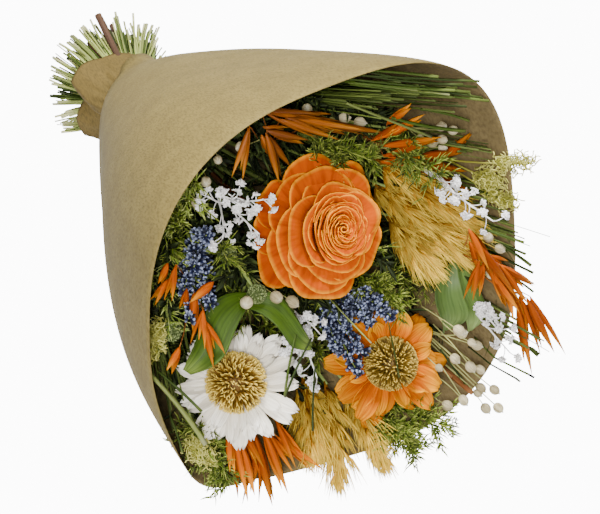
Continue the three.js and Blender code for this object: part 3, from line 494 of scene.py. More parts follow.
TINY = 1e-9
ROUND = {sides: round_section(sides) for sides in (3, 4, 5, 6, 8, 16)}
BLADE = np.array([(1, 0), (0, 0.9), (-1, 0), (0, -0.9)], float)
wound = np.linspace(0, TWINE_TURNS * 2 * np.pi, 400)
twine_path = round_the_axis(wound, TWINE_RADIUS + 0.1 * np.sin(3.7 * wound),
                            np.linspace(-TWINE_REACH, TWINE_REACH, 400))
jute, jute_tree, jute_shader = new_material("jute_twine", 0.9, 0.1)
where = jute_tree.nodes.new("ShaderNodeAttribute")
where.attribute_name = "along"
twist = jute_tree.nodes.new("ShaderNodeTexWave")
twist.inputs["Scale"].default_value = 60
twist.inputs["Distortion"].default_value = 3
tones = jute_tree.nodes.new("ShaderNodeValToRGB")
tones.color_ramp.elements[0].color = colour("#7d5f34")
tones.color_ramp.elements[1].color = colour("#c2a26a")
jute_tree.links.new(where.outputs["Fac"], twist.inputs["Vector"])
jute_tree.links.new(twist.outputs["Fac"], tones.inputs["Fac"])
jute_tree.links.new(tones.outputs["Color"], jute_shader.inputs["Base Color"])
add_bump(jute_tree, jute_shader, twist.outputs["Fac"], 0.0002)
twine = strands(twine_path[None], TWINE / 2, section=ROUND[6], up=(0, 0, 1))
make_piece("jute_tie", [twine], [jute], "jute_tie", ["tie_band"])

# Stems
# Every flower and spray stands on its own cut stem, and many bear small leaves, nearly black with painted
# shade.
# All stems pass the tie side by side and fan out behind the paper.
STEM_TOPS = {  # where each stem ends among the flowers
    "plume_upper_1": (70, 36, 243), "plume_upper_2": (72, 12, 245), "plume_upper_3": (70, -12, 248),
    "plume_lower_1": (-26, -93, 262), "plume_lower_2": (-12, -104, 266), "plume_lower_3": (2, -113, 268),
    "oats_right": (106, -52, 270), "oats_top": (88, 34, 222), "oats_upper_left": (10, 62, 212),
    "oats_bottom": (-76, -88, 258), "oats_left": (-84, 14, 246),
    "white_sprig_left": (-40, 52, 236), "white_sprig_right": (104, 16, 258),
    "white_sprig_lower": (102, -80, 284), "white_sprig_middle": (-20, -38, 258),
    "blue_spikes_left": (-66, 40, 232), "blue_spikes_middle": (4, -42, 250),
    "blue_spikes_right": (22, -36, 258),
    "pods_left": (-44, 4, 262), "pods_upper": (52, 62, 205), "pods_top": (106, 36, 228),
    "pods_right": (121, -38, 262), "pods_lower": (64, -92, 285),
    "button_upper": (-52, 28, 243), "button_middle": (-50, 12, 271), "button_left": (-105, 2, 252),
    "broad_leaves_left": (-46, 2, 256), "broad_leaves_right": (88, -56, 254),
    "fern_left": (-62, 58, 215), "fern_top": (40, 60, 226), "fern_right": (92, 46, 238),
    "fern_middle": (30, -34, 258), "fern_bottom": (8, -118, 290), "fern_lower_left": (-108, -66, 276),
    "moss_right": (124, 8, 250), "moss_left": (-110, 14, 250), "moss_lower": (-116, -72, 272),
    "twig_right": (64, -118, 305), "twig_top": (26, 84, 190), "forked_stalk": (-74, 62, 180),
}
MARKS = {  # between which heights of its solid a stem is read
    "cut": (-70, -40), "skirt": (-26.6, -25.4), "below": (-8.6, -7.4), "above": (7.4, 8.6),
}


def tissue_group():
    """Plant tissue: a base colour that turns to a tip colour along the part, deeper in streaks that run
    along it, and a little deeper or not from one part to the next."""
    group, given, result = new_group("plant_tissue", ("Base", "Deep", "Tip"),
                                     ("Tip start", "Streaks", "Variety"))
    nodes, links = group.nodes, group.links

    def value(name):
        """A value that the mesh carries for each of its points."""
        node = nodes.new("ShaderNodeAttribute")
        node.attribute_name = name
        return node.outputs["Fac"]

    along, own = value("along"), value("own")
    to_tip = nodes.new("ShaderNodeMapRange")
    to_tip.interpolation_type = "SMOOTHSTEP"
    links.new(along, to_tip.inputs["Value"])
    links.new(given["Tip start"], to_tip.inputs["From Min"])
    tipped = blend(group, to_tip.outputs["Result"], given["Base"], given["Tip"])
    place = nodes.new("ShaderNodeCombineXYZ")
    links.new(calculate(group, "MULTIPLY", value("across"), 5.0), place.inputs["X"])
    links.new(along, place.inputs["Y"])
    links.new(calculate(group, "MULTIPLY", own, 40.0), place.inputs["Z"])
    grain = nodes.new("ShaderNodeTexNoise")
    grain.inputs["Scale"].default_value = 1.6
    grain.inputs["Detail"].default_value = 3
    links.new(place.outputs["Vector"], grain.inputs["Vector"])
    ridges = ramp(group, grain.outputs["Fac"], 0.42, 0.7)
    streaked = blend(group, calculate(group, "MULTIPLY", ridges, given["Streaks"]), tipped, given["Deep"])
    varied = blend(group, calculate(group, "MULTIPLY", own, given["Variety"]), streaked, given["Deep"])
    links.new(varied, result["Colour"])
    links.new(ridges, result["Height"])
    return group


TISSUE = tissue_group()


def plant_finish(name, base, deep, tip, tip_start, streaks, variety, roughness=0.7, specular=0.25,
                 bump=0.0001):
    """A dried plant finish from the shared tissue, with its own colours and sheen."""
    given = {"Base": base, "Deep": deep, "Tip": tip, "Tip start": tip_start, "Streaks": streaks,
             "Variety": variety}
    return group_finish(name, TISSUE, given, roughness, specular, bump, 0.6)


green_stem = plant_finish("green_stem", "#7f8f45", "#4d5a25", "#8a9a50", 0.9, 0.6, 0.6)
pale_stem = plant_finish("pale_stem", "#a9a866", "#6d6a37", "#9a9450", 0.9, 0.6, 0.6)
brown_bark = plant_finish("brown_bark", "#5a3f2a", "#2a1a10", "#6c5038", 0.9, 0.9, 0.5, bump=0.0004)
# Small leaves among the stems and in the filling: a nearly black green, painted shade deep in the bunch.
painted_shade_leaf = plant_finish("painted_shade_leaf", "#2b3712", "#0c1004", "#4f5c26", 0.6, 0.6, 0.85, specular=0.15)


def bend(start, middle, end, stations):
    """Smooth arcs through three rows of points: each starts at the first, is drawn to the second and ends
    at the third."""
    t = np.linspace(0, 1, stations).reshape(1, -1, 1)
    start, middle, end = (np.asarray(p, float).reshape(-1, 1, 3) for p in (start, middle, end))
    return (1 - t) ** 2 * start + 2 * t * (1 - t) * middle + t ** 2 * end


def scatter(draw, count):
    """Directions drawn evenly over a sphere."""
    return unit(draw.normal(size=(count, 3)))


def stem_marks(node):
    """Where the node's stem is cut, and passes the skirt and each side of the tie, read from its solid."""
    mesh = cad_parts[node].data
    points = np.empty(len(mesh.vertices) * 3, np.float32)
    mesh.vertices.foreach_get("co", points)
    points = in_bouquet(points.reshape(-1, 3))
    return [points[(points[:, 2] > low) & (points[:, 2] < high)].mean(0) for low, high in MARKS.values()]


def whole_stem(node, top, neck=None):
    """The stem's path from its cut end through the tie to its top; a bloom's stem turns in to it."""
    cut, skirt, below, above = stem_marks(node)
    top = np.asarray(top, float)
    turn = top if neck is None else top - np.asarray(neck) * 26
    lower = np.array([cut, (cut + skirt) / 2, skirt, below, above])
    rise = np.linspace(0, 1, 14)[1:, None]
    upper = above + (turn - above) * rise
    if neck is not None:
        upper = np.concatenate([upper[:-1], bend(upper[-1], turn + (top - turn) * 0.3, top, 7)[0]])
    return np.concatenate([lower, upper])


def stem_part(path, thickness, draw):
    """One stem: a slim five-sided strand, thinner to its top, with a cut foot."""
    share = np.linspace(0, 1, len(path))
    return strands(path[None], thickness * (1.05 - 0.45 * share), section=ROUND[5], own=draw.random())


BLOOMS = [  # foot, facing and radius of the rose, both daisies and the upper plumes
    ((6, 23, 258), (0.003, 0.488, 0.873), 47), ((-83, -45, 286), (-0.252, 0.777, 0.569), 46),
    ((24, -88, 292), (-0.11, 0.53, 0.835), 50), ((94, -24, 258), (-0.305, 0.589, 0.749), 36),
]


def clear_of_blooms(points, below=6):
    """Whether points stay out of the three large blooms and the upper plumes: beside them or well under."""
    clear = np.ones(len(points), bool)
    for foot, facing, radius in BLOOMS:
        arm = points - np.array(foot, float)
        height = arm @ (np.array(facing) / np.linalg.norm(facing))
        clear &= (height < -below) | (np.sqrt(np.maximum(0, np.sum(arm ** 2, 1) - height ** 2)) > radius)
    return clear


def side_leaves(path, draw, count, length, width, first, last):
    """Small leaves that stand off a stem: each arcs out from it and forward, and its tip sinks a little."""
    lean, droop = 1.2, 0.25
    steps = np.linspace(0, 1, len(path))
    at = first + (last - first) * draw.random(count)
    root = np.stack([np.interp(at, steps, path[:, axis]) for axis in range(3)], -1)
    way = path[-1] - path[-3]
    way = way / np.linalg.norm(way)
    out = scatter(draw, count)
    out = unit(out - (out @ way)[:, None] * way)
    size = length * (0.6 + 0.7 * draw.random(count))[:, None]
    mid = root + (out * 0.6 + way * lean * 0.5) * size * 0.5
    end = root + (out + way * lean) * size * 0.62 - np.array([0, droop, 0]) * size * draw.random((count, 1))
    kept = clear_of_blooms(end)
    root, mid, end, out, count = root[kept], mid[kept], end[kept], out[kept], int(kept.sum())
    shape = np.array([0.25, 0.9, 1, 0.12])
    return strands(bend(root, mid, end, 4), width / 2 * shape, 0.2, BLADE,
                   up=out + 0.3 * scatter(draw, count), cup=0.25, finish=1, own=draw.random(count))


def leafy_stem(node, draw, count, length, width, first, last):
    """The node's stem with its side leaves: the parts that its piece begins with."""
    return STEM_PARTS[node] + [side_leaves(STEMS[node], draw, count, length, width, first, last)]


STEMS = {}
STEM_PARTS = {}
for number, (node, top) in enumerate(STEM_TOPS.items()):
    draw = np.random.default_rng(1000 + number)
    STEMS[node] = whole_stem(node, top)
    STEM_PARTS[node] = [stem_part(STEMS[node], 1.7, draw)]

# Cut grass
# Long thin blades of green grass: some run up to the rim, and most are cut short behind the tie, where
# they make the bristling fan.
GRASS = {  # first turn in the bundle, and the tips of the blades
    "grass_right": (-65, [(119, -100, 338), (134, -30, 312), (136, -10, 302)]),
    "grass_top": (10, [(140, 30, 294), (125, 84, 293), (100, 92, 280), (76, 98, 278)]),
    "grass_left": (165, [(-128, -2, 280), (-131, -31, 279), (-122, -55, 284), (-112, -79, 280)]),
}
BUNDLE = 20  # from the middle of the bundle to its corner stems
BLADES_AT_A_PLACE = 22
ABOVE_TABLE = 2.2
fresh_grass = plant_finish("cut_grass", "#435618", "#161f06", "#6c7a36", 0.75, 0.7, 0.8, 0.6, 0.15)
pale_grass = plant_finish("pale_grass", "#9ca258", "#4c5722", "#dcd8a4", 0.86, 0.6, 0.85, 0.6)


def outer_places(first, count):
    """Places in the outer ring of the bundle, which is a hexagon of packed stems, from a given turn on."""
    sixth = np.radians(60 * np.arange(7))
    corner = BUNDLE * np.stack([np.cos(sixth), np.sin(sixth)], -1)
    ring = np.concatenate([corner[k] + (corner[k + 1] - corner[k]) * np.arange(4)[:, None] / 4
                           for k in range(6)])
    turn = (np.degrees(np.arctan2(ring[:, 1], ring[:, 0])) - first + 720) % 360
    return ring[np.argsort(turn)[:count]]


for number, (node, (first, ends)) in enumerate(GRASS.items()):
    draw = np.random.default_rng(1100 + number)
    blades = []
    for place, end in zip(outer_places(first, len(ends)), ends):
        for copy in range(BLADES_AT_A_PLACE):
            stray = draw.normal(size=2) * 0.8
            foot = np.array([*(place + stray), 0.0])
            tip = np.array(end) * (1 - 0.14 * draw.random()) + draw.normal(size=3) * (4.5 if copy else 0.2)
            cut = foot * np.array([1 + 1.4 * draw.random(), 1 + 0.5 * draw.random(), 0])
            cut = cut + np.array([0, 6, -38 - 22 * draw.random()])
            lower = bend(cut, foot + [0, 0, -22], foot, 5)[0]
            upper = bend(foot, foot + (tip - foot) * 0.5 + draw.normal(size=3) * 1.5, tip, 10)[0]
            blades.append(np.concatenate([lower, upper[1:]]))
    blades = on_table(np.array(blades), ABOVE_TABLE)
    widths = (0.55 + 0.75 * draw.random(len(blades)))[:, None] * np.linspace(1, 0.8, blades.shape[1])
    sheaf = strands(blades, widths, 0.22, BLADE, up=scatter(draw, len(blades)), cup=0.3,
                    own=draw.random(len(blades)))
    make_piece(node + "_blades", [sheaf], [fresh_grass], "cut_grass", [node])

FAN_REACH = {-28: 52, -6: 60, 8: 60, 34: 54, 60: 51, 79: 48, 101: 46, 140: 50, 165: 50, 188: 56, 208: 63,
             232: 66}
FAN_START = -28
FAN_SPAN = 260
FAN_STATIONS = 12
STALK_TOP = 4
STALKS = [  # finish, how many, least reach, share of the fan's reach, thinnest, thickest
    (0, 90, 20, 0.95, 0.5, 1.0), (1, 200, 24, 1.0, 0.65, 1.5), (2, 14, 20, 0.9, 0.9, 1.5),
]


def cut_stalks(count, draw, least, most):
    """Cut stalks of the fan: each runs from its place in the tie through the skirt's mouth to its cut end.
    Its place across the bundle follows the curve of second degree through these three."""
    turn = np.radians(FAN_START + FAN_SPAN * draw.random(count) ** 0.9)
    along = np.linspace(0, 1, FAN_STATIONS)[None, :, None]
    length = np.maximum(draw.uniform(46, 66, count) - 22 * np.clip((turn - 2.8) / 0.6, 0, 1), 35)
    far = least + (most * read_off(FAN_REACH, np.degrees(turn)) - least) * draw.random(count) ** 0.8
    inner = turn + 0.5 * draw.normal(size=count)
    reach = 21 * np.sqrt(draw.random(count))
    mouth = np.minimum(reach + 0.55 * np.maximum(far - reach, 0),
                       neck_radius(turn, SKIRT_END) - 3.5)
    foot, knee, end = (np.stack([out * np.cos(way), out * np.sin(way)], -1)[:, None]
                       for out, way in ((reach, inner), (mouth, turn), (far, turn)))
    split = ((STALK_TOP - SKIRT_END) / (STALK_TOP + length))[:, None, None]
    flat = (foot * (along - split) * (along - 1) / split
            + knee * along * (along - 1) / (split * (split - 1))
            + end * along * (along - split) / (1 - split))
    depth = STALK_TOP - (STALK_TOP + length)[:, None, None] * along
    return on_table(np.concatenate([flat, depth], -1), ABOVE_TABLE)


draw = np.random.default_rng(1200)
fan_parts = []
for finish, count, least, most, thin, thick in STALKS:
    width = draw.uniform(thin, thick, count)[:, None] * np.ones(FAN_STATIONS)
    fan_parts.append(strands(cut_stalks(count, draw, least, most), width, width * 0.7, ROUND[5],
                             up=scatter(draw, count), finish=finish, own=draw.random(count)))
thick_twig = bend((2, 12, 4), (5, 26, -28), (9, 50, -57), 8)
fan_parts.append(strands(thick_twig, 2.8 * np.linspace(0.8, 1, 8), section=ROUND[8], finish=2, own=0.8))
make_piece("cut_stem_fan", fan_parts, [fresh_grass, pale_grass, brown_bark], "cut_grass")

# Rose
# A rose made of thin curled wood shavings, dyed orange: a tight bud of wavy crescents in the middle and
# rings of wide cupped petals round it, glued to one small base on a stem.
ROSE_FOOT, ROSE_FACING = (5.3, 21.7, 258.7), (0.003, 0.488, 0.873)
OFF_CENTRE = (7.8, -4.4)
SHAVING = 0.55  # thickness of a petal
CRESCENTS = 40
# The shavings turn bright orange at their edges: a painted highlight on the rims.
shaving = plant_finish("rose_shaving", "#b64c00", "#681b00", "#f89c06", 0.92, 0.5, 0.6, 0.85, 0.02, 0.0003)


def bloom_axes(facing):
    """Across, other and up: the axes of a bloom that faces this way."""
    axis = np.array(facing) / np.linalg.norm(facing)
    side = np.array([1.0, 0, 0]) - axis[0] * axis
    side /= np.linalg.norm(side)
    return np.stack([side, np.cross(axis, side), axis])


def bloom_points(foot, facing, turn, radius, height, shift=(0, 0)):
    """Points of a bloom from their turn and radius round its axis and their height above its foot."""
    flat = np.stack(np.broadcast_arrays(radius * np.cos(turn) + shift[0], radius * np.sin(turn) + shift[1],
                                        height), -1)
    return flat @ bloom_axes(facing) + np.array(foot, float)


def thick_sheet(grid, wall, finish=0, **values):
    """A thin closed sheet from a grid of points: the wall lies half on each side of it."""
    normal = unit(np.cross(np.gradient(grid, axis=1), np.gradient(grid, axis=0)), TINY)
    points, faces = walled_sheet(grid + normal * wall / 2, grid - normal * wall / 2)
    rows, columns = grid.shape[:2]
    along = np.repeat(np.linspace(0, 1, rows), columns)
    across = np.tile(np.linspace(-1, 1, columns), rows)
    found = {"along": np.tile(along, 2), "across": np.tile(across, 2)}
    found.update({name: np.full(len(points), value) for name, value in values.items()})
    return {"points": points, "faces": [faces], "finish": finish, "values": found}


def rose_petal(middle, half, root, edge, low, high, draw, lap, curl, fullness, wave, own=None):
    """One shaving petal. Across it, the turn runs over its width; up it, the radius and height go from its
    root to its edge. Its corners are rounded, one side laps outward, its edge waves and curls over, and
    the whole flower is a little oval. The nearer the heart, the more it stands off centre."""
    u = np.linspace(-1, 1, 19)[None, :]
    v = np.linspace(0, 1, 9)[:, None]
    reach = v * (1 - 0.36 * np.abs(u) ** 3.6)
    phase = draw.random(4) * 6.3
    ripple = wave * (0.5 * np.sin(3.1 * u + phase[0]) + 0.4 * np.sin(7.3 * u + phase[1])) * reach ** 3
    radius = root + (edge - root) * reach ** fullness + lap * u * reach + curl * reach ** 9 + 0.8 * ripple
    height = low + (high - low) * np.sin(reach * np.pi / 2) ** 0.9 + ripple - 0.5 * curl * reach ** 12
    turn = middle + u * half
    oval = 1 - 0.08 * np.cos(2 * turn + 0.94)
    off = 1 - (np.clip(edge - 18, 0, 27) / 27) ** 0.7
    shift = (OFF_CENTRE[0] * off, OFF_CENTRE[1] * off)
    grid = bloom_points(ROSE_FOOT, ROSE_FACING, turn, radius * oval, height, shift)
    return thick_sheet(grid, SHAVING, own=draw.random() * 0.4 if own is None else own)


# The last column is how much of the deep colour a ring takes: painted shade, most on the outer rings and
# most of all on the outermost petals, at the left under the paper.
ROSE_RINGS = [  # petals, half width in turn, root, edge, low, high, first turn, span, depth of colour
    (3, 0.5, 20, 45, 0, 8, 2.1, 1.7, 0.8), (6, 0.84, 18, 42.5, 2, 19, 0.9, 6.28, 0.5),
    (5, 0.92, 16, 36.5, 5, 26, 2.6, 6.28, 0.4), (4, 1.12, 14, 30, 10, 30, 0.9, 6.28, 0.35),
    (4, 1.2, 13, 25.5, 13, 32, 2.3, 6.28, 0.3),
]
draw = np.random.default_rng(7)
rose_parts = []
for count, half, root, edge, low, high, start, span, depth in ROSE_RINGS:
    for k in range(count):
        middle = start + span * (k + 0.3 * draw.random()) / count
        far = edge + 3 * (draw.random() - 0.5)
        top = high + 8 * (draw.random() - 0.5)
        lap = 2.2 + 3 * draw.random()
        curl = 0.4 + 2.4 * draw.random()
        rose_parts.append(rose_petal(middle, half, root, far, low, top, draw, lap, curl, 1.3, 3.0, depth))
for k in range(CRESCENTS):
    share = k / (CRESCENTS - 1)
    size = 22.5 - 19 * share ** 0.9
    half = 1.0 + 0.7 * draw.random()
    top = 31.6 + 4.4 * np.sin(share * 2.6) + 3.6 * (draw.random() - 0.5)
    wave = 2.6 * (1 - 0.6 * share)
    rose_parts.append(rose_petal(2.4 * k, half, size * 0.75, size, 20, top, draw, 2.4, 0.5, 1.1, wave))
coil = np.linspace(0, 2.6 * np.pi, 40)[None, :]
bud = bloom_points(ROSE_FOOT, ROSE_FACING, coil, 0.8 + 0.36 * coil, np.linspace(22, 35.4, 8)[:, None],
                   OFF_CENTRE)
rose_parts.append(thick_sheet(bud, SHAVING, own=0.1))
heart = np.array(ROSE_FOOT, float) + bloom_axes(ROSE_FACING)[2] * np.linspace(1, 21, 7)[:, None]
rose_parts.append(strands(heart[None], np.array([8, 14, 17, 17, 14, 8, 2.0]), section=ROUND[16], own=1.0))
make_piece("wood_rose", rose_parts, [shaving], "orange_rose_petals", ["rose_petals"])
draw = np.random.default_rng(8)
rose_stem = whole_stem("rose_stem", np.array(ROSE_FOOT) - np.array(ROSE_FACING) * 0.3, ROSE_FACING)
rose_stalk = [stem_part(rose_stem, 2.0, draw), side_leaves(rose_stem, draw, 70, 26, 7, 0.6, 0.97)]
make_piece("rose_stalk", rose_stalk, [green_stem, painted_shade_leaf], "green_stem", ["rose_stem"])

# Daisies
# Two strawflower-like daisies: layers of papery petals on a flat hub, white straps with nicked tips on
# one and orange, wide and partly folded on the other, round a big brush of bristles.
WHITE_FOOT, WHITE_FACING = (-83, -45, 286), (-0.252, 0.777, 0.569)
ORANGE_FOOT, ORANGE_FACING = (24, -88, 292), (-0.11, 0.53, 0.835)
WHITE_LAYERS = [(15, 43.5, 10.5, -3.0), (15, 42, 10, 0.5), (12, 35, 9.5, 3.0)]  # petals, length, width, lift
ORANGE_LAYERS = [(12, 47, 17, -3.0), (11, 45, 16, 3.0), (8, 36, 13, 8.0)]
PETAL_ROOT = 8.5
GOLDEN_TURN = 2.39996  # from one bristle of a seed head to the next
white_petal = plant_finish("white_petal", "#efe6d2", "#a89c82", "#fffaee", 0.3, 0.5, 0.5, 0.6, 0.15, 0.0003)
orange_petal = plant_finish("orange_petal", "#c06300", "#823000", "#e8a000", 0.45, 0.75, 0.6, 0.85, 0.02,
                            0.0002)
gold_bristle = plant_finish("gold_bristle", "#6e4c04", "#301e00", "#ffdc62", 0.35, 0.2, 0.4, 0.6, 0.25, 0)
olive_bristle = plant_finish("olive_bristle", "#6e520c", "#2e2004", "#ecc858", 0.4, 0.2, 0.45, 0.6, 0.25, 0)


def daisy_petal(foot, facing, middle, length, width, lift, cup, twist, nicks, draw, fold, droop):
    """One papery petal: it widens from its root, rises or sinks along a curve, its sides turn up by the
    cup and its end is cut in small nicks or rounded. A folded petal closes on itself like a pod."""
    u = np.linspace(-1, 1, 11)[None, :]
    v = np.linspace(0, 1, 11)[:, None]
    blunt = 2.2 if nicks > 1 else 1.4
    half = width / 2 * np.minimum(1, 0.35 + 1.3 * v) * (1 - 0.62 * np.clip((v - 0.74) / 0.26, 0, 1) ** blunt)
    ridge = 0.3 * np.cos(8 * u + draw.random() * 3) * v
    edge = nicks * (0.5 - 0.5 * np.cos(6.5 * u + 3 * draw.random())) * v ** 10
    flat = half * np.sin(u * fold) / fold + 1.6 * (draw.random() - 0.5) * v ** 2
    rise = half * (1 - np.cos(u * fold)) / fold
    out = PETAL_ROOT + (length - PETAL_ROOT) * v - edge
    high = (lift * v ** 1.3 - droop * v ** 3 + cup * u ** 2 * np.clip(2 * v, 0, 1) + twist * u * v ** 1.5
            + ridge + rise + 0.7 * np.sin(5 * v + draw.random() * 6) * v)
    turn = middle + np.arctan2(flat, out)
    return thick_sheet(bloom_points(foot, facing, turn, np.hypot(out, flat), high), 0.4, own=draw.random())


def bristle_ball(foot, facing, radius, draw, count, long, hook):
    """Brush on the hub: a dark core and bristles that stand out of it by a spiral rule and hook over."""
    axes = bloom_axes(facing)
    centre = np.array(foot, float) + axes[2] * (radius * 0.45)
    k = np.arange(count) + 0.5
    rise = 1 - 1.5 * k / count
    turn = k * GOLDEN_TURN + 0.4 * draw.normal(size=count)
    flat = np.sqrt(1 - rise ** 2)
    out = np.stack([flat * np.cos(turn), flat * np.sin(turn), rise], -1) @ axes
    outward = unit(out - (out @ axes[2])[:, None] * axes[2] + 0.5 * scatter(draw, count))
    size = 0.8 + 0.4 * draw.random((count, 1))
    root = centre + out * (radius - long - 1.5)
    middle = centre + out * (radius + 0.5) * (0.95 + 0.05 * size)
    tip = centre + out * (radius - 0.28 * long * size) + outward * hook * size
    hairs = strands(bend(root, middle, tip, 5), np.array([0.52, 0.52, 0.48, 0.4, 0.18]), section=ROUND[4],
                    own=draw.random(count))
    stations = np.linspace(-0.85, 0.98, 12)
    core = centre + axes[2] * (stations * (radius - long - 0.6))[:, None]
    inside = strands(core[None], (radius - long - 0.6) * np.sqrt(1 - stations ** 2), section=ROUND[16],
                     own=1.0)
    inside["values"]["along"] *= 0
    return [hairs, inside]


def petal_hub(foot, facing):
    """Flat green hub under the petals: a short round strand that widens quickly and narrows at its top."""
    axes = bloom_axes(facing)
    path = np.array(foot, float) + axes[2] * np.array([-2.4, -2.2, -1.2, 0.1, 0.4])[:, None]
    return strands(path[None], np.array([2.0, 9, 12, 11.5, 6]), section=ROUND[16], finish=1, own=0.5)


draw = np.random.default_rng(21)
petals = [petal_hub(WHITE_FOOT, WHITE_FACING)]
for layer, (count, length, width, sink) in enumerate(WHITE_LAYERS):
    for k in range(count):
        middle = 2 * np.pi * (k + 0.5 * layer + 0.55 * (draw.random() - 0.5)) / count
        petals.append(daisy_petal(WHITE_FOOT, WHITE_FACING, middle, length * (0.86 + 0.17 * draw.random()),
                                  width * (0.85 + 0.3 * draw.random()), sink + 5 * (draw.random() - 0.5),
                                  1.6 * draw.random(), 3.2 * (draw.random() - 0.5), 2.4, draw,
                                  0.01 + 0.9 * draw.random() ** 2, 4 * draw.random()))
make_piece("white_daisy_petal_layers", petals, [white_petal, green_stem], "white_petals",
           ["white_daisy_petals"])
make_piece("white_daisy_bristle_ball", bristle_ball(WHITE_FOOT, WHITE_FACING, 19.2, draw, 760, 5.5, 3.2),
           [gold_bristle], "seed_ball", ["white_daisy_ball"])
draw = np.random.default_rng(31)
petals = [petal_hub(ORANGE_FOOT, ORANGE_FACING)]
for layer, (count, length, width, sink) in enumerate(ORANGE_LAYERS):
    for k in range(count):
        middle = 2 * np.pi * (k + 0.5 * layer + 0.8 * (draw.random() - 0.5)) / count
        left = np.cos(middle - 3.3)
        petals.append(daisy_petal(ORANGE_FOOT, ORANGE_FACING, middle, length * (0.78 + 0.24 * draw.random()),
                                  width * (0.8 + 0.4 * draw.random()), sink + 9 * (draw.random() - 0.5),
                                  3.0 * draw.random(), 5 * (draw.random() - 0.5), 0.5, draw,
                                  0.01 + (1.5 if left > 0.75 else 0.7) * draw.random(), 5 * draw.random()))
make_piece("orange_daisy_petal_layers", petals, [orange_petal, green_stem], "orange_petals",
           ["orange_daisy_petals"])
make_piece("orange_daisy_bristle_ball", bristle_ball(ORANGE_FOOT, ORANGE_FACING, 19.6, draw, 700, 8.5, 1.6),
           [olive_bristle], "olive_seed_ball", ["orange_daisy_ball"])
for name, foot, facing, seed in (("white_daisy", WHITE_FOOT, WHITE_FACING, 41),
                                 ("orange_daisy", ORANGE_FOOT, ORANGE_FACING, 42)):
    draw = np.random.default_rng(seed)
    path = whole_stem(name + "_stem", np.array(foot) - np.array(facing) * 2.5, facing)
    make_piece(name + "_stalk", [stem_part(path, 1.9, draw), side_leaves(path, draw, 70, 26, 6, 0.55, 0.96)],
               [green_stem, painted_shade_leaf], "green_stem", [name + "_stem"])

# Plumes
# Golden bristle grass, dried and dyed: each plume is a spindle of fine silky bristles that stand out in
# tufts and sweep forward. Each grows on its own stalk, and one of the six forks.
PLUMES = {
    "plume_upper_1": (116, -26, 284), "plume_upper_2": (112, -48, 292), "plume_upper_3": (73, -34, 286),
    "plume_lower_1": (-51, -117, 303), "plume_lower_2": (-41, -138, 316), "plume_lower_3": (-9, -138, 321),
}
SIDE_PLUMES = {"plume_upper_2": (98, -40, 288)}  # the fork
TUFTS = 135
HAIRS_IN_TUFT = 10
golden_plume = plant_finish("golden_plume", "#be7c0a", "#4c2a00", "#ffdc58", 0.15, 0.15, 0.8, 0.8, 0.05, 0)


def branch(node, order, tip, draw, stations):
    """A branch's path: it leaves the stem a little lower than the one before it and arcs to its tip."""
    way = STEMS[node][-1] - STEMS[node][-2]
    fork = STEMS[node][-1] - way / np.linalg.norm(way) * (3 + 6 * order)
    tip = np.asarray(tip, float)
    middle = (fork + tip) / 2 + (draw.random(3) - 0.5) * 3.0
    middle[2] += 0.12 * np.linalg.norm(tip - fork)
    return bend(fork, middle, tip, stations)[0]


def on_path(path, at):
    """Places along a path and its direction at each of them, from shares of its length."""
    steps = np.linspace(0, 1, len(path))
    ways = unit(np.gradient(path, axis=0))
    place, way = (np.stack([np.interp(at, steps, rows[:, axis]) for axis in range(3)], -1)
                  for rows in (path, ways))
    return place, way


def sideways(way, draw):
    """Random directions square to the given ones: what is left of them without their share along those."""
    out = scatter(draw, len(way))
    return unit(out - np.sum(out * way, 1, keepdims=True) * way)


def plume(path, draw, finish):
    """Bristles of one plume, in tufts that stand out round its middle and sweep forward. A tuft is a sheaf
    of fine hairs that part a little to their tips; the tufts are shorter at both ends of the plume."""
    at = 0.03 + 0.97 * (np.arange(TUFTS) + draw.random(TUFTS)) / TUFTS
    root, way = on_path(path, at)
    out = sideways(way, draw)
    swell = np.sin(np.pi * (0.14 + 0.8 * at)) ** 0.7
    size = (15 + 11 * draw.random(TUFTS)) * (0.3 + 0.7 * swell)
    lean = (0.35 + 0.45 * draw.random(TUFTS)) * (1 - 0.8 * at ** 3)
    # The share of deep colour for each tuft: more toward the plume's foot, painted shade deep in the bunch,
    # and more or less at random from tuft to tuft.
    shade = np.clip(0.65 - 0.65 * at + 0.9 * (draw.random(TUFTS) - 0.3), 0, 1)
    root, way, out, size, lean, shade = (np.repeat(value, HAIRS_IN_TUFT, 0)
                                         for value in (root, way, out, size, lean, shade))
    size = (size * (0.45 + 0.75 * draw.random(len(size))))[:, None]
    middle = root + (out * (0.25 + lean[:, None]) * 0.6 + way * 0.35) * size
    tip = root + (out * lean[:, None] + way + 0.17 * scatter(draw, len(size))) * size
    hairs = strands(bend(root, middle, tip, 3), np.array([0.42, 0.46, 0.08]), finish=finish, own=shade)
    core = strands(path[None], 0.6 + 2.4 * np.sin(np.pi * np.linspace(0.03, 0.97, len(path))) ** 0.7,
                   section=ROUND[6], finish=finish, own=1.0)
    core["values"]["along"] *= 0
    return [hairs, core]


for number, (node, tip) in enumerate(PLUMES.items()):
    draw = np.random.default_rng(2000 + number)
    parts = leafy_stem(node, draw, 26, 22, 4, 0.55, 0.85)
    for order, end in enumerate((tip, SIDE_PLUMES[node]) if node in SIDE_PLUMES else (tip,)):
        parts += plume(branch(node, 2 * order, end, draw, 24), draw, 2)
    make_piece(node + "_bristles", parts, [green_stem, painted_shade_leaf, golden_plume], "golden_plume", [node])

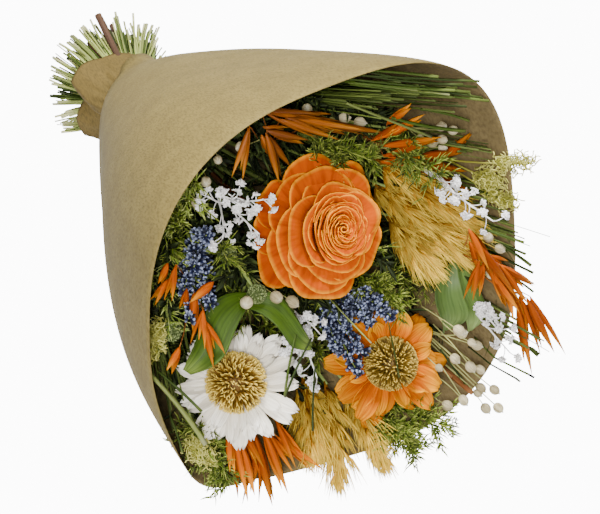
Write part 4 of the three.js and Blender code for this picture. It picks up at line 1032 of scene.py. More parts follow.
# Oats
# Dyed orange oats: long smooth bracts that gape in pairs at the ends of thin stalks. Each spray is one
# dried stem, its husks spread toward the rim.
OATS = {  # foot and tip of each husk
    "oats_right": [
        ((91, 4, 314), (99, -27, 320)), ((95, -10, 316), (106, -50, 320)),
        ((100, -22, 316), (110, -68, 322)), ((108, -34, 318), (130, -74, 318)),
        ((117, -72, 318), (117, -134, 320)), ((121, -70, 318), (123, -128, 318)),
        ((128, -74, 318), (140, -132, 320)), ((124, -72, 320), (134, -126, 322)),
        ((93, -22, 318), (78, -47, 320)), ((101, -36, 318), (112, -77, 320)),
        ((110, -47, 318), (116, -86, 320)), ((104, -30, 316), (124, -64, 316)),
        ((96, -25, 318), (84, -46, 320)),
    ],
    "oats_top": [
        ((75, 69, 258), (91, 80, 266)), ((71, 63, 260), (101, 64, 262)), ((68, 56, 260), (112, 39, 262)),
        ((66, 50, 262), (106, 36, 264)), ((94, 33, 260), (124, 23, 262)), ((110, 24, 262), (135, 33, 262)),
        ((96, 27, 262), (125, 6, 262)), ((100, 12, 262), (124, -7, 262)), ((61, 64, 260), (84, 66, 262)),
        ((92, 32, 266), (112, 13, 266)),
    ],
    "oats_upper_left": [
        ((-3, 112, 240), (36, 80, 244)), ((14, 98, 240), (60, 64, 246)), ((28, 88, 243), (77, 54, 246)),
        ((-3, 97, 243), (22, 76, 246)), ((-4, 95, 243), (-3, 57, 246)), ((-2, 92, 238), (6, 60, 240)),
        ((-14, 106, 243), (-33, 74, 246)), ((8, 100, 243), (42, 70, 247)), ((20, 92, 236), (52, 72, 238)),
    ],
    "oats_bottom": [
        ((-106, -58, 308), (-112, -88, 312)), ((-102, -60, 308), (-111, -114, 314)),
        ((-100, -72, 310), (-101, -112, 314)), ((-87, -81, 308), (-106, -120, 314)),
        ((-88, -73, 306), (-90, -131, 314)), ((-81, -74, 306), (-80, -127, 314)),
        ((-71, -73, 306), (-63, -114, 312)), ((-74, -84, 308), (-52, -127, 314)),
        ((-95, -60, 304), (-91, -99, 310)), ((-94, -76, 304), (-97, -124, 308)),
        ((-78, -78, 302), (-72, -122, 306)),
    ],
    "oats_left": [
        ((-84, 50, 296), (-104, 47, 300)), ((-99, 30, 300), (-102, -4, 306)),
        ((-117, 16, 296), (-130, 5, 300)), ((-99, 63, 280), (-112, 43, 284)),
        ((-106, 54, 278), (-122, 46, 282)), ((-96, 44, 290), (-106, 22, 296)),
        ((-96, 36, 298), (-108, 14, 302)),
    ],
}
OAT_DEPTH = {"oats_bottom": 13}  # how much deeper its husks start
orange_bract = plant_finish("orange_bract", "#b05002", "#5a1e00", "#dc8c0a", 0.4, 0.6, 0.8, 0.6, 0.05)
# A darker copy of the oat colours for the upper-left spray: painted shade under the paper's upper wall.
painted_shade_bract = plant_finish("painted_shade_bract", "#904c06", "#482206", "#c07a1c", 0.4, 0.6, 0.8, 0.5, 0.2)
orange_stalk = plant_finish("orange_stalk", "#9a5a1e", "#5c3012", "#b8742f", 0.9, 0.5, 0.5, bump=0)


def bract(root, way, out, length, width, gape, draw, finish):
    """One oat bract: a pointed boat that leaves the husk's foot, swings out and closes at its tip."""
    u = np.linspace(-1, 1, 5)[None, :, None]
    v = np.linspace(0, 1, 9)[:, None, None]
    side = np.cross(way, out)
    half = width / 2 * np.sin(np.pi * (0.03 + 0.965 * v) ** 0.8) ** 1.15
    line = root + way * length * v + out * length * gape * (v - 0.25 * v ** 3)
    twist = (draw.random() - 0.5) * 0.6 * v
    boat = line + side * half * u - out * half * (0.85 * u ** 2 - 0.45) + side * twist * length * 0.1
    return thick_sheet(boat, 0.3, finish, own=draw.random())


def oat_husk(root, tip, draw, finish):
    """One husk: two large bracts that gape and a slim one between them."""
    length = np.linalg.norm(tip - root)
    way = (tip - root) / length
    out = sideways(way[None], draw)[0]
    third = np.cross(way, out)
    gape = 0.1 + 0.16 * draw.random()
    wide = 5.0 + 1.4 * draw.random()
    return [bract(root, way, out, length, wide, gape, draw, finish),
            bract(root, way, -out, length * 0.94, wide * 0.95, gape, draw, finish),
            bract(root, way, third, length * 0.78, wide * 0.6, 0.07, draw, finish)]


for number, (node, husks) in enumerate(OATS.items()):
    draw = np.random.default_rng(2100 + number)
    parts = leafy_stem(node, draw, 26, 24, 4, 0.55, 0.97)
    for order, (root, tip) in enumerate(husks):
        root = np.array(root) - np.array(VIEW_BACK) * OAT_DEPTH.get(node, 0)
        stalk = branch(node, 0.4 * order, root, draw, 12)
        parts.append(strands(stalk[None], np.linspace(0.7, 0.4, 12), finish=2, own=draw.random()))
        parts += oat_husk(np.array(root, float), np.array(tip, float), draw, 3)
        stray = draw.uniform(-7, 7, 3)
        shorter = np.array(root) + (np.array(tip) - root) * draw.uniform(0.55, 0.8)
        if order % 2:
            parts += oat_husk(np.array(root) + stray * 0.6 - [0, 3, 5], shorter + stray - [0, 3, 5], draw, 3)
    # The upper-left spray takes the darker copy, painted shade.
    bracts = painted_shade_bract if node == "oats_upper_left" else orange_bract
    make_piece(node + "_husks", parts, [green_stem, painted_shade_leaf, orange_stalk, bracts], "orange_oats", [node])

# White sprigs
# Bleached sprigs: stiff white branchlets with clusters of tiny five-petalled florets. Each is one
# dried stem that forks below the flowers.
SPRIGS = {
    "white_sprig_left": [(-56, 76, 249), (-40, 72, 258), (-27, 68, 268), (-58, 50, 262), (-36, 46, 270)],
    "white_sprig_right": [(99, 15, 289), (105, 6, 300), (114, -6, 308)],
    "white_sprig_lower": [(96, -78, 308), (101, -90, 314), (102, -106, 324)],
    "white_sprig_middle": [(-17, -40, 276), (-46, -38, 290), (-35, -50, 288), (-28, -72, 289)],
}
FLORETS = 40
white_floret = plant_finish("white_floret", "#dedad5", "#98928c", "#fbf9f8", 0.3, 0.3, 0.2, 0.65, 0.25, 0)


def florets(centre, face, draw, size, finish):
    """Tiny flowers: round petals in a ring, each set at its own centre and facing its own way."""
    count, petals = len(centre), 5
    side = sideways(face, draw)
    other = np.cross(face, side)
    turn = (2 * np.pi * np.arange(petals) / petals)[None, :, None]
    out = side[:, None] * np.cos(turn) + other[:, None] * np.sin(turn)
    root = np.repeat(centre[:, None], petals, 1)
    size = np.broadcast_to(size, (count,))[:, None, None]
    tip = root + out * size + face[:, None] * size * 0.35
    middle = (root + tip) / 2 - face[:, None] * size * 0.12
    paths = bend(root.reshape(-1, 3), middle.reshape(-1, 3), tip.reshape(-1, 3), 3)
    wide = np.repeat(size[:, 0], petals, 0) * np.array([0.15, 0.58, 0.3])
    return strands(paths, wide, wide * 0.4, ROUND[4], up=np.repeat(face, petals, 0), finish=finish,
                   own=np.repeat(draw.random(count), petals))


def sprig(path, draw, finish, count):
    """A branchlet with side twigs whose ends carry the florets."""
    root, way = on_path(path, np.linspace(0.35, 0.99, 7))
    out = sideways(way, draw)
    ends = root + out * (3 + 5 * draw.random((7, 1))) + way * 5
    twigs = strands(bend(root, root + way * 3 + out, ends, 4), 0.4, finish=finish, own=0.2)
    which = draw.integers(0, 7, count)
    face = unit(out[which] + 0.9 * scatter(draw, count) + 0.4 * way[which])
    heads = florets(ends[which] + face * (1 + 2.4 * draw.random((count, 1))), face, draw,
                    1.6 + 1.1 * draw.random(count), finish)
    return [strands(path[None], np.linspace(0.85, 0.5, len(path)), section=ROUND[5], finish=finish, own=0.1),
            twigs, heads]


for number, (node, tips) in enumerate(SPRIGS.items()):
    draw = np.random.default_rng(2200 + number)
    parts = leafy_stem(node, draw, 20, 18, 4, 0.6, 0.97)
    for order, tip in enumerate(tips):
        parts += sprig(branch(node, order, tip, draw, 10), draw, 2, FLORETS)
    make_piece(node + "_florets", parts, [green_stem, painted_shade_leaf, white_floret], "white_sprig", [node])

# Blue spikes
# Blue-grey spikes, close set with small flared flowers that pale at their mouths. They are dried on
# their own stalks and stand between the large blooms.
SPIKES = {
    "blue_spikes_left": [(-69, 60, 264), (-86, 50, 274), (-99, 42, 280), (-90, 34, 296), (-106, 33, 296)],
    "blue_spikes_middle": [(-5, -72, 305), (-10, -54, 293), (4, -62, 300)],
    "blue_spikes_right": [(30, -44, 300), (16, -46, 295), (0, -34, 296)],
}
TRUMPETS = 230
blue_flower = plant_finish("blue_flower", "#1e2546", "#05060c", "#a4aecd", 0.68, 0.4, 0.98, 0.7, 0.15, 0)


def flower_spike(path, draw, finish, count):
    """Small trumpets crowded all round the upper part of a stalk, the spike narrower to its tip."""
    at = 0.3 + 0.7 * (np.arange(count) + draw.random(count)) / count
    root, way = on_path(path, at)
    out = sideways(way, draw)
    lumps = 0.75 + 0.35 * np.sin(at * 31 + 3 * draw.random())[:, None]
    depth = (9.5 - 5.5 * at)[:, None] * lumps * np.sqrt(draw.random((count, 1)))
    start = root + out * depth * 0.6
    tip = start + out * (1.4 + depth * 0.45) + way * 2.0 + 0.9 * scatter(draw, count)
    paths = bend(start, start + way * 1.2 + out * 0.5, tip, 4)
    wide = (0.45 + 0.6 * draw.random((count, 1))) * np.array([0.5, 0.9, 1.35, 0.8])
    return [strands(paths, wide, section=ROUND[4], finish=finish, own=draw.random(count)),
            strands(path[None], np.linspace(0.8, 0.4, len(path)), section=ROUND[5], own=0.6)]


for number, (node, tips) in enumerate(SPIKES.items()):
    draw = np.random.default_rng(2300 + number)
    parts = leafy_stem(node, draw, 26, 20, 4, 0.6, 0.99)
    for order, tip in enumerate(tips):
        parts += flower_spike(branch(node, order, tip, draw, 10), draw, 2, TRUMPETS)
    make_piece(node + "_flowers", parts, [green_stem, painted_shade_leaf, blue_flower], "blue_spike", [node])

# Pods
# Ivory pods: crinkled, egg-round, with a small beak, in loose bunches on thin stalks. A few more stand
# singly among the flowers.
PODS = {
    "pods_left": [(-62, 13, 285), (-41, 5, 285), (-31, -5, 285)],
    "pods_upper": [(63, 62, 222), (72, 56, 226), (40, 79, 217), (-16, 82, 226)],
    "pods_top": [(100, 41, 253), (114, 36, 258), (118, 42, 253), (124, 38, 257)],
    "pods_right": [(113, -24, 300), (106, -47, 308), (108, -58, 316), (122, -40, 298)],
    "pods_lower": [(78, -86, 305), (85, -98, 310), (67, -100, 309), (76, -124, 322), (61, -126, 322),
                   (83, -126, 328), (79, -135, 336)],
}
POD = 4.3  # radius
POD_SIZES = {"pods_left": 1.0, "pods_top": 0.8, "pods_upper": 0.9, "pods_right": 0.82, "pods_lower": 0.82}
ivory_pod = plant_finish("ivory_pod", "#cdc19a", "#6c5d38", "#eee8cc", 0.75, 0.75, 0.6, 0.7, 0.2, 0.0005)


def pod_on_stalk(path, widths, draw, stalk_finish, pod_finish, size):
    """A thin stalk along the path and a pod on its end, whose size is drawn if it is not given."""
    way = (path[-1] - path[-3]) / np.linalg.norm(path[-1] - path[-3])
    stalk = strands(path[None], np.linspace(*widths, 10), section=ROUND[5], finish=stalk_finish,
                    own=draw.random())
    size = 0.62 + 0.28 * draw.random() if size is None else size
    return [stalk, pod(path[-1], way, draw, pod_finish, size)]


def pod(centre, way, draw, finish, size):
    """One pod: a ball turned on its stalk's line, with shallow ribs and a small beak."""
    share = 0.5 - 0.5 * np.cos(np.linspace(0.1, np.pi, 14))
    radius = POD * size * np.sqrt(np.maximum(0.004, 1 - (2 * share - 1) ** 2)) * (1 - 0.05 * share)
    radius[-1], radius[0] = 0.25, 0.5
    line = centre + way * (POD * size * (2 * share - 1) * np.array([1.12] * 13 + [1.35]))[:, None]
    turn = 2 * np.pi * np.arange(18) / 18
    ribs = (1 + 0.035 * np.cos(6 * turn + draw.random()) + 0.02 * draw.normal(size=18))[:, None]
    return strands(line[None], radius, section=np.stack([np.cos(turn), np.sin(turn)], -1) * ribs,
                   up=sideways(way[None], draw), finish=finish, own=draw.random())


LOOSE_PODS = [
    (71, -73, 314), (77, -85, 318), (73, -105, 318), (79, -110, 320), (52, -97, 312), (73, -127, 322),
    (62, -129, 320), (75, -140, 326), (50, -127, 318), (115, 27, 255), (109, 33, 253), (89, 45, 255),
    (-37, 87, 234), (-51, 80, 240), (-63, 73, 246),
]
for number, (node, centres) in enumerate(PODS.items()):
    draw = np.random.default_rng(2400 + number)
    parts = leafy_stem(node, draw, 26, 20, 4, 0.6, 0.97)
    for order, centre in enumerate(centres):
        path = branch(node, order, centre, draw, 10)
        parts += pod_on_stalk(path, (0.55, 0.4), draw, 2, 3, POD_SIZES[node])
    make_piece(node + "_heads", parts, [green_stem, painted_shade_leaf, pale_stem, ivory_pod], "ivory_pods", [node])
draw = np.random.default_rng(2450)
parts = []
for order, centre in enumerate(LOOSE_PODS):
    start = np.array(centre) * [0.86, 0.86, 0.9] + 4 * draw.normal(size=3)
    path = bend(start, (start + centre) / 2 + 3 * draw.normal(size=3), centre, 10)[0]
    parts += pod_on_stalk(path, (0.45, 0.35), draw, 0, 1, None)
make_piece("loose_pods", parts, [pale_stem, ivory_pod], "ivory_pods")

# Buttons
# Sage-green buttons: round seed heads covered in small hooked scales. Each grew on its own stalk and is
# dried as it was cut.
BUTTONS = {"button_upper": (-54, 30, 252), "button_middle": (-52, 12, 281), "button_left": (-108, 1, 262)}
BUTTON = 6.6  # radius
SCALES = 150
sage_button = plant_finish("sage_button", "#4f5c2c", "#262f12", "#9ca86e", 0.5, 0.4, 0.5, 0.75, 0.2, bump=0)


def button(centre, draw, finish, count):
    """Scales set over a ball by a spiral rule; each is a small blunt hook."""
    k = np.arange(count) + 0.5
    rise, turn = 1 - 2 * k / count, k * GOLDEN_TURN
    flat = np.sqrt(1 - rise ** 2)
    out = np.stack([flat * np.cos(turn), flat * np.sin(turn), rise], -1)
    curl = sideways(out, draw)
    paths = bend(centre + out * (BUTTON - 2.4), centre + out * (BUTTON + 0.2) - curl * 0.6,
                 centre + out * (BUTTON - 0.5) + curl * 1.5, 6)
    scales = strands(paths, np.array([0.75, 0.8, 0.7, 0.6, 0.45, 0.2]), section=ROUND[4], finish=finish,
                     own=draw.random(count))
    stations = np.linspace(-0.97, 0.97, 10)
    line = centre + np.array([0, 0, 1.0]) * (stations * (BUTTON - 1.3))[:, None]
    core = strands(line[None], (BUTTON - 1.3) * np.sqrt(1 - stations ** 2), section=ROUND[16], finish=finish,
                   own=1.0)
    core["values"]["along"] *= 0
    return [scales, core]


for number, (node, centre) in enumerate(BUTTONS.items()):
    draw = np.random.default_rng(2500 + number)
    path = branch(node, 0, centre, draw, 8)
    parts = leafy_stem(node, draw, 26, 20, 4, 0.6, 0.97)
    parts.append(strands(path[None], 0.9, section=ROUND[5], own=0.5))
    parts += button(path[-1], draw, 2, SCALES)
    make_piece(node + "_scales", parts, [green_stem, painted_shade_leaf, sage_button], "green_buttons", [node])

# Broad leaves
# Four broad sage leaves on two stems, folded along the rib, with a waved edge. They are preserved, so
# they still bend, and lie over the stems below the blooms.
LEAVES = {  # foot, control point, tip, width, the way its face looks, roll, sway
    "broad_leaves_left": [
        ((-52, 7, 274), (-84, 18, 292), (-118, -4, 297), 25, (-0.5, 0.5, 0.7), 0.7, 3),
        ((-62, 5, 275), (-44, 8, 295), (-27, -35, 302), 24, (0.1, 0.75, 0.65), -0.8, -3),
    ],
    "broad_leaves_right": [
        ((94, -44, 282), (78, -62, 294), (72, -90, 296), 25, (-0.1, 0.5, 0.85), 0.6, 3),
        ((96, -46, 283), (102, -76, 294), (92, -100, 298), 23, (0.1, 0.5, 0.85), -0.6, 3),
    ],
}
sage_leaf = plant_finish("sage_leaf", "#3c540c", "#182404", "#6c8030", 0.8, 0.6, 0.4, 0.6, 0.22, 0.0002)
pale_leaf = plant_finish("pale_leaf", "#5c7634", "#2e411a", "#8fa560", 0.6, 0.6, 0.5, 0.5, 0.25, 0.0002)


def leaf_blade(foot, by, tip, width, up, roll, sway, draw, finish):
    """A leaf on a curved path that sways to one side: widest past its middle, folded up from the rib, its
    edge waved and one side rolled over by the given turn."""
    v = np.linspace(0, 1, 26)[:, None]
    u = np.linspace(-1, 1, 17)[None, :]
    line = bend(foot, by, tip, 26)[0][:, None]
    way = unit(np.gradient(line, axis=0))
    side = unit(np.cross(way, np.array(up, float)))
    normal = np.cross(side, way)
    line = line + side * sway * np.sin(2 * np.pi * v ** 1.3)[..., None] - normal * 7 * (v ** 3)[..., None]
    half = 0.9 + (width / 2 - 0.9) * np.sin(np.pi * np.minimum(1, v * 0.97) ** 1.25) ** 0.75
    over = roll * np.clip(u * np.sign(roll) - 0.15, 0, 1) ** 2 * 3 * v
    flat = half * u * np.cos(0.6 * over)
    wave = (1.8 * np.sin(v * 12 + 1.7 * np.sign(u)) * u ** 2
            + 0.5 * np.cos(v * 40 - 6 * np.abs(u)) * np.abs(u) * (1 - u ** 2))
    rise = half * (0.34 * np.abs(u) ** 1.2 + 0.5 * over) + wave * v
    blade = line + side * flat[..., None] + normal * rise[..., None]
    return thick_sheet(blade, 0.45, finish, own=draw.random())


for number, (node, blades) in enumerate(LEAVES.items()):
    draw = np.random.default_rng(2600 + number)
    way = STEMS[node][-1] - STEMS[node][-2]
    foot = STEMS[node][-1] - 3 * way / np.linalg.norm(way)
    parts = leafy_stem(node, draw, 30, 24, 7, 0.6, 0.97)
    for start, by, tip, width, up_side, roll, sway in blades:
        stalk = bend(foot, (foot + start) / 2 - [0, 0, 3], start, 6)
        parts.append(strands(stalk, 0.9, section=ROUND[5], own=0.5))
        parts.append(leaf_blade(start, by, tip, width, up_side, roll, sway, draw, 2))
    leaf = sage_leaf if node == "broad_leaves_left" else pale_leaf
    make_piece(node + "_blades", parts, [green_stem, painted_shade_leaf, leaf], "sage_leaves", [node])

# Fern and moss
# Feathery sprays with many fine yellow-green needles, and bunches of pale curled threads. Both are
# preserved sprigs on woody stalks, tucked in between the flowers and along the paper.
FERNS = {
    "fern_left": [(-68, 76, 242), (-100, 44, 256), (-84, 64, 250)],
    "fern_top": [(58, 50, 262), (22, 62, 254), (40, 58, 260)],
    "fern_right": [(80, 44, 270), (92, 30, 280)],
    "fern_middle": [(46, -48, 288), (40, -40, 276)],
    "fern_bottom": [(8, -132, 318), (14, -137, 328), (42, -136, 326)],
    "fern_lower_left": [(-119, -66, 285), (-115, -96, 307), (-118, -80, 298)],
}
MOSS = {
    "moss_right": [(134, 6, 286), (145, 28, 310), (136, -8, 300)],
    "moss_left": [(-122, 11, 268), (-128, 0, 270)],
    "moss_lower": [(-127, -68, 298), (-121, -77, 299)],
}
THREADS = 90
THREAD_SPREAD = 9.0
FERN_SIZES = {  # twigs, needles on each, half width
    "fern_bottom": (24, 20, 0.5), "fern_left": (14, 12, 0.55), "fern_lower_left": (20, 16, 0.5),
}
fern_needle = plant_finish("fern_needle", "#63761e", "#1e2a06", "#c0c75c", 0.35, 0.3, 0.9, 0.6, 0.2, bump=0)
moss_thread = plant_finish("moss_thread", "#9a9634", "#55551b", "#d8d272", 0.3, 0.3, 0.5, 0.6, 0.25, bump=0)


def fern(path, draw, finish, twigs=18, needles=14, broad=0.42):
    """A spray: twigs on both sides of its stalk, each set with needles of the given half width."""
    root, way = on_path(path, 0.25 + 0.74 * (np.arange(twigs) + draw.random(twigs)) / twigs)
    out = sideways(way, draw)
    reach = 8 + 12 * draw.random((twigs, 1))
    ends = root + out * reach + way * reach * 0.7
    lines = bend(root, root + way * reach * 0.4 + out * reach * 0.3, ends, 6)
    at = draw.random((twigs, needles))
    low = (at * 4.999).astype(int)
    row = np.arange(twigs)[:, None]
    place = lines[row, low] + (lines[row, low + 1] - lines[row, low]) * (at * 4.999 - low)[..., None]
    place = place.reshape(-1, 3)
    along = np.repeat(unit(ends - root), needles, 0)
    off = sideways(along, draw)
    long = 4.5 + 5 * draw.random((len(place), 1))
    middle = place + off * long * 0.5 + along * long * 0.3
    spikes = bend(place, middle, place + off * long * 0.7 + along * long * 0.75, 3)
    return [strands(path[None], np.linspace(0.6, 0.3, len(path)), section=ROUND[4], finish=finish, own=0.3),
            strands(lines, np.linspace(0.32, 0.16, 6), finish=finish, own=draw.random(twigs)),
            strands(spikes, broad * np.array([0.8, 1, 0.15]), finish=finish, own=draw.random(len(place)))]


def curls(path, draw, finish, count, spread):
    """A tuft of threads round a stalk's end: each runs outward in a loose coil."""
    root, way = on_path(path, 0.62 + 0.38 * draw.random(count))
    out = unit(scatter(draw, count) + 0.4 * way)
    side = sideways(out, draw)
    other = np.cross(out, side)
    t = np.linspace(0, 1, 9)[None, :, None]
    turn = 6.3 * (0.8 + 0.9 * draw.random((count, 1, 1))) * t
    wide = 1.1 + 1.3 * draw.random((count, 1, 1))
    line = (root[:, None] + out[:, None] * t * spread * (0.6 + 0.6 * draw.random((count, 1, 1)))
            + (side[:, None] * np.cos(turn) + other[:, None] * np.sin(turn) - side[:, None]) * wide)
    return [strands(line, 0.42, finish=finish, own=draw.random(count)),
            strands(path[None], np.linspace(0.7, 0.5, len(path)), section=ROUND[4], finish=finish, own=0.3)]


for number, (node, tips) in enumerate(FERNS.items()):
    draw = np.random.default_rng(2700 + number)
    parts = leafy_stem(node, draw, 30, 20, 3, 0.55, 0.98)
    for order, tip in enumerate(tips):
        parts += fern(branch(node, order, tip, draw, 10), draw, 2, *FERN_SIZES.get(node, ()))
    make_piece(node + "_needles", parts, [green_stem, painted_shade_leaf, fern_needle], "fern_green", [node])
for number, (node, tips) in enumerate(MOSS.items()):
    draw = np.random.default_rng(2800 + number)
    parts = leafy_stem(node, draw, 26, 20, 3, 0.6, 0.98)
    for order, tip in enumerate(tips):
        parts += curls(branch(node, order, tip, draw, 10), draw, 2, THREADS, THREAD_SPREAD)
    make_piece(node + "_threads", parts, [green_stem, painted_shade_leaf, moss_thread], "pale_moss", [node])

# Twigs
# A thick brown twig lies in the top of the bunch, a rust-brown stick shows at its right and a dark
# forked stalk at its left. They are dry wood, held in the tie with the stems.
rust_twig = plant_finish("rust_twig", "#7c4a20", "#40220e", "#98683a", 0.9, 0.7, 0.4, bump=0.0002)
dark_stalk = plant_finish("dark_stalk", "#3c4d20", "#18220c", "#4f6030", 0.9, 0.6, 0.4, bump=0.0002)
for node, name, finish, slot in (("twig_right", "rust_twig_stick", rust_twig, "brown_twig"),
                                 ("twig_top", "brown_twig_stick", brown_bark, "brown_twig"),
                                 ("forked_stalk", "dark_forked_stalk", dark_stalk, "dark_stalk")):
    draw = np.random.default_rng(2900 + len(name))
    sticks = [stem_part(STEMS[node], 2.1, draw), side_leaves(STEMS[node], draw, 14, 20, 4, 0.6, 0.95)]
    make_piece(name, sticks, [finish, painted_shade_leaf], slot, [node])

# Loose greens
# Small leafy and feathery sprigs are tucked in between the stems, down to the paper, and a few cut
# blades and a rust-brown stick cross in front of the flowers.
LEAFY_SPRIGS = [(120, 190, 90), (180, 235, 150), (215, 262, 160)]  # lowest, highest, how many
TWIG = 30
LEAVES_ON_TWIG = 11
FEATHERY_SPRIGS = 34
CROSSING_BLADES = [  # foot, tip, half width, finish
    ((47, 102, 262), (101, 50, 268), 1.1, 1), ((77, 75, 262), (123, 47, 275), 1.3, 0),
    ((103, 65, 255), (130, 49, 270), 1.0, 0), ((-138, 0, 285), (-127, -44, 322), 1.8, 1),
    ((-133, 1, 290), (-122, -21, 318), 1.0, 0), ((-40, -18, 300), (-68, -37, 325), 0.9, 0),
    ((-30, -27, 300), (-69, -36, 327), 0.9, 0), ((-34, -46, 305), (-52, -84, 318), 0.8, 0),
    ((115, -26, 275), (142, -49, 295), 1.0, 0), ((118, -34, 275), (141, -62, 300), 0.9, 0),
    ((119, -44, 275), (142, -74, 300), 1.0, 0), ((121, -54, 275), (142, -86, 300), 0.8, 0),
    ((121, -91, 290), (122, -153, 300), 0.8, 0), ((123, -101, 290), (142, -141, 305), 0.9, 0),
    ((-134, -37, 290), (-141, -47, 315), 0.9, 0), ((62, -94, 300), (74, -133, 310), 0.8, 0),
    ((18, -31, 318), (12, -68, 330), 0.5, 0), ((-4, -19, 285), (3, -40, 318), 0.6, 1),
    ((64, 105, 240), (132, 88, 287), 0.9, 0), ((63, 98, 240), (137, 70, 287), 0.9, 0),
    ((57, 106, 240), (125, 82, 285), 0.9, 0), ((60, 102, 240), (114, 89, 285), 1.0, 0),
    ((64, 100, 240), (133, 74, 286), 0.8, 0), ((66, 108, 240), (104, 104, 284), 1.0, 0),
    ((68, 104, 240), (120, 91, 286), 0.9, 0), ((62, 100, 240), (110, 87, 284), 0.8, 1),
    ((70, 108, 244), (130, 84, 286), 0.8, 0), ((112, -21, 285), (131, -30, 315), 1.1, 0),
    ((119, -35, 285), (134, -52, 315), 1.3, 0), ((120, -48, 285), (135, -59, 315), 1.0, 0),
    ((123, -65, 285), (134, -68, 315), 0.8, 0), ((120, -60, 285), (133, -75, 315), 0.9, 0),
    ((116, -30, 285), (133, -43, 312), 1.0, 0), ((121, -105, 285), (130, -132, 315), 1.9, 0),
    ((113, -132, 285), (124, -152, 315), 1.0, 0), ((108, -141, 285), (112, -146, 315), 0.9, 0),
]


def sprig_feet(count, draw, least, most):
    """Feet of loose sprigs and the way they point: spread through the cone, away from the tie, but not
    where they would stand in a bloom or in the shallow upper side."""
    turn = 2 * np.pi * draw.random(count)
    z = least + (most - least) * draw.random(count)
    radius = np.sqrt(draw.random(count)) * 0.86 * cone_radius(turn, z)
    foot = on_table(round_the_axis(turn, radius, z), 4)
    way = unit(foot)
    shallow = (z > 205) & (turn > 0.2) & (turn < 2.5)
    kept = clear_of_blooms(foot + way * 42, 4) & ~shallow
    return foot[kept], way[kept]


def leafy(foot, way, draw, size, leaves):
    """Leaves in loose pairs up short twigs, all twigs at once."""
    count = len(foot)
    at = np.linspace(0.15, 1, leaves)[None, :, None]
    root = (foot[:, None] + way[:, None] * size * at).reshape(-1, 3)
    lean = np.repeat(way, leaves, 0)
    out = sideways(lean, draw)
    long = 7 + 8 * draw.random((len(root), 1))
    end = root + (out * 0.75 + lean * 0.65) * long
    middle = (root + end) / 2 + lean * long * 0.18
    wide = (1.3 + 1.4 * draw.random((len(root), 1))) * np.array([0.25, 1, 0.1])
    twigs = strands(bend(foot, foot + way * size / 2, foot + way * size, 3), 0.5, own=draw.random(count))
    return [strands(bend(root, middle, end, 3), wide, 0.2, BLADE, up=out, finish=int(draw.random() < 0.3),
                    own=draw.random(len(root))), twigs]


# The filling's leaves take the nearly black leaf colour: painted shade in the depth of the bunch.
draw = np.random.default_rng(3000)
leafy_parts = []
for low, high, number in LEAFY_SPRIGS:
    foot, way = sprig_feet(number, draw, low, high)
    leafy_parts += leafy(foot, way, draw, TWIG, LEAVES_ON_TWIG)
make_piece("leafy_filling", leafy_parts, [painted_shade_leaf, green_stem], "sage_leaves")
foot, way = sprig_feet(FEATHERY_SPRIGS, draw, 205, 240)
feathery_parts = []
for start, heading in zip(foot, way):
    path = bend(start, start + heading * 20, start + heading * 36 + scatter(draw, 1)[0] * 6, 10)[0]
    feathery_parts += fern(path, draw, 0, 12, 10)
make_piece("feathery_filling", feathery_parts, [fern_needle], "fern_green")
# A lighter copy of the fern colours for the ferns along the left wall: painted light where the paper shades
# them.
painted_light_needle = plant_finish("painted_light_needle", "#7f9330", "#2e3a10", "#d2da80", 0.35, 0.2, 0.5, 0.6, 0.2, 0)
wall_parts = []
for tip in ((-71, 84, 256), (-82, 72, 258), (-95, 52, 260), (-101, 38, 262), (-60, 90, 250), (-111, 8, 268)):
    path = bend(np.array(tip) * 0.82, np.array(tip) * 0.92, tip, 10)[0]
    wall_parts += fern(path, draw, 0, 6, 7, 0.55)
make_piece("wall_ferns", wall_parts, [painted_light_needle], "fern_green")
blade_parts = []
for foot, tip, half, finish in CROSSING_BLADES:
    middle = (np.array(foot) + tip) / 2 + draw.normal(size=3) * 1.5
    blade_parts.append(strands(bend(foot, middle, tip, 8), half * np.linspace(0.8, 1, 8), 0.25, BLADE,
                               up=(0.1, 0.5, 0.8), cup=0.3, finish=finish, own=draw.random()))
make_piece("crossing_blades", blade_parts, [fresh_grass, pale_grass], "cut_grass")
stick_path = bend((67, -122, 268), (69, -126, 290), (72, -130.5, 316), 8)
stick = strands(stick_path, 2.2 * np.linspace(1.1, 0.8, 8), section=ROUND[8], own=0.4)
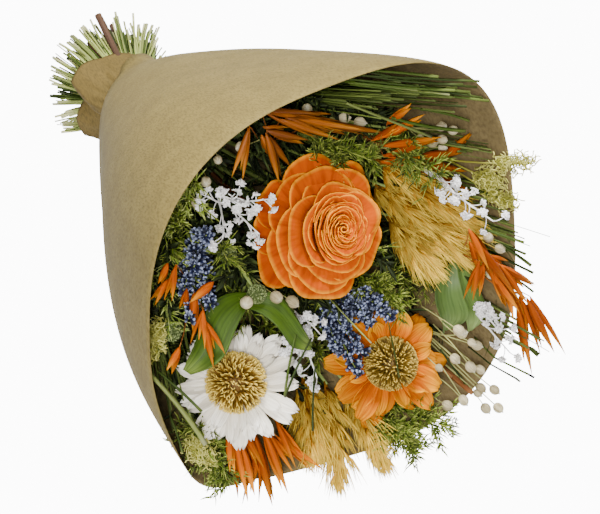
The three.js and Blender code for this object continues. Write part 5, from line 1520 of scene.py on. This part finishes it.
make_piece("loose_stick", [stick], [rust_twig], "brown_twig")

# Floor and light
# A white seamless table, seen as pure white, with one large soft lamp above and one beside the camera.
# They show the bouquet and are no part of it.
FLOOR_GLOW = 12
ROOM_LIGHT = 0.26
LOOK_AT = (0, -0.05, 0.1)
floor_mesh = bpy.data.meshes.new("floor")
floor_mesh.from_pydata([(-6, -6, 0), (6, -6, 0), (6, 6, 0), (-6, 6, 0)], [], [(0, 1, 2, 3)])
floor = bpy.data.objects.new("floor", floor_mesh)
bpy.context.scene.collection.objects.link(floor)
floor_finish, floor_tree, floor_shader = new_material("floor_white", 0.9, 0.1)
floor_shader.inputs["Base Color"].default_value = (0.8, 0.8, 0.8, 1)
seen = floor_tree.nodes.new("ShaderNodeLightPath")
glow = floor_tree.nodes.new("ShaderNodeEmission")
glow.inputs["Strength"].default_value = FLOOR_GLOW
chosen = floor_tree.nodes.new("ShaderNodeMixShader")
floor_tree.links.new(seen.outputs["Is Camera Ray"], chosen.inputs["Fac"])
floor_tree.links.new(floor_shader.outputs["BSDF"], chosen.inputs[1])
floor_tree.links.new(glow.outputs["Emission"], chosen.inputs[2])
floor_tree.links.new(chosen.outputs["Shader"], floor_tree.nodes["Material Output"].inputs["Surface"])
floor_mesh.materials.append(floor_finish)

world = bpy.data.worlds.new("studio")
world.use_nodes = True
world.node_tree.nodes["Background"].inputs["Color"].default_value = (1, 1, 1, 1)
world.node_tree.nodes["Background"].inputs["Strength"].default_value = ROOM_LIGHT
bpy.context.scene.world = world


def lamp(name, size, power, position):
    """A soft square lamp that looks at the flowers."""
    data = bpy.data.lights.new(name, "AREA")
    data.size = size
    data.energy = power
    light = bpy.data.objects.new(name, data)
    away = Vector(position) - Vector(LOOK_AT)
    light.matrix_world = Matrix.Translation(position) @ away.to_track_quat("Z", "Y").to_matrix().to_4x4()
    bpy.context.scene.collection.objects.link(light)


lamp("key_lamp", size=0.32, power=58, position=(0.35, 0.35, 1.4))
lamp("front_lamp", size=0.35, power=43, position=(-0.6, -0.8, 1.3))
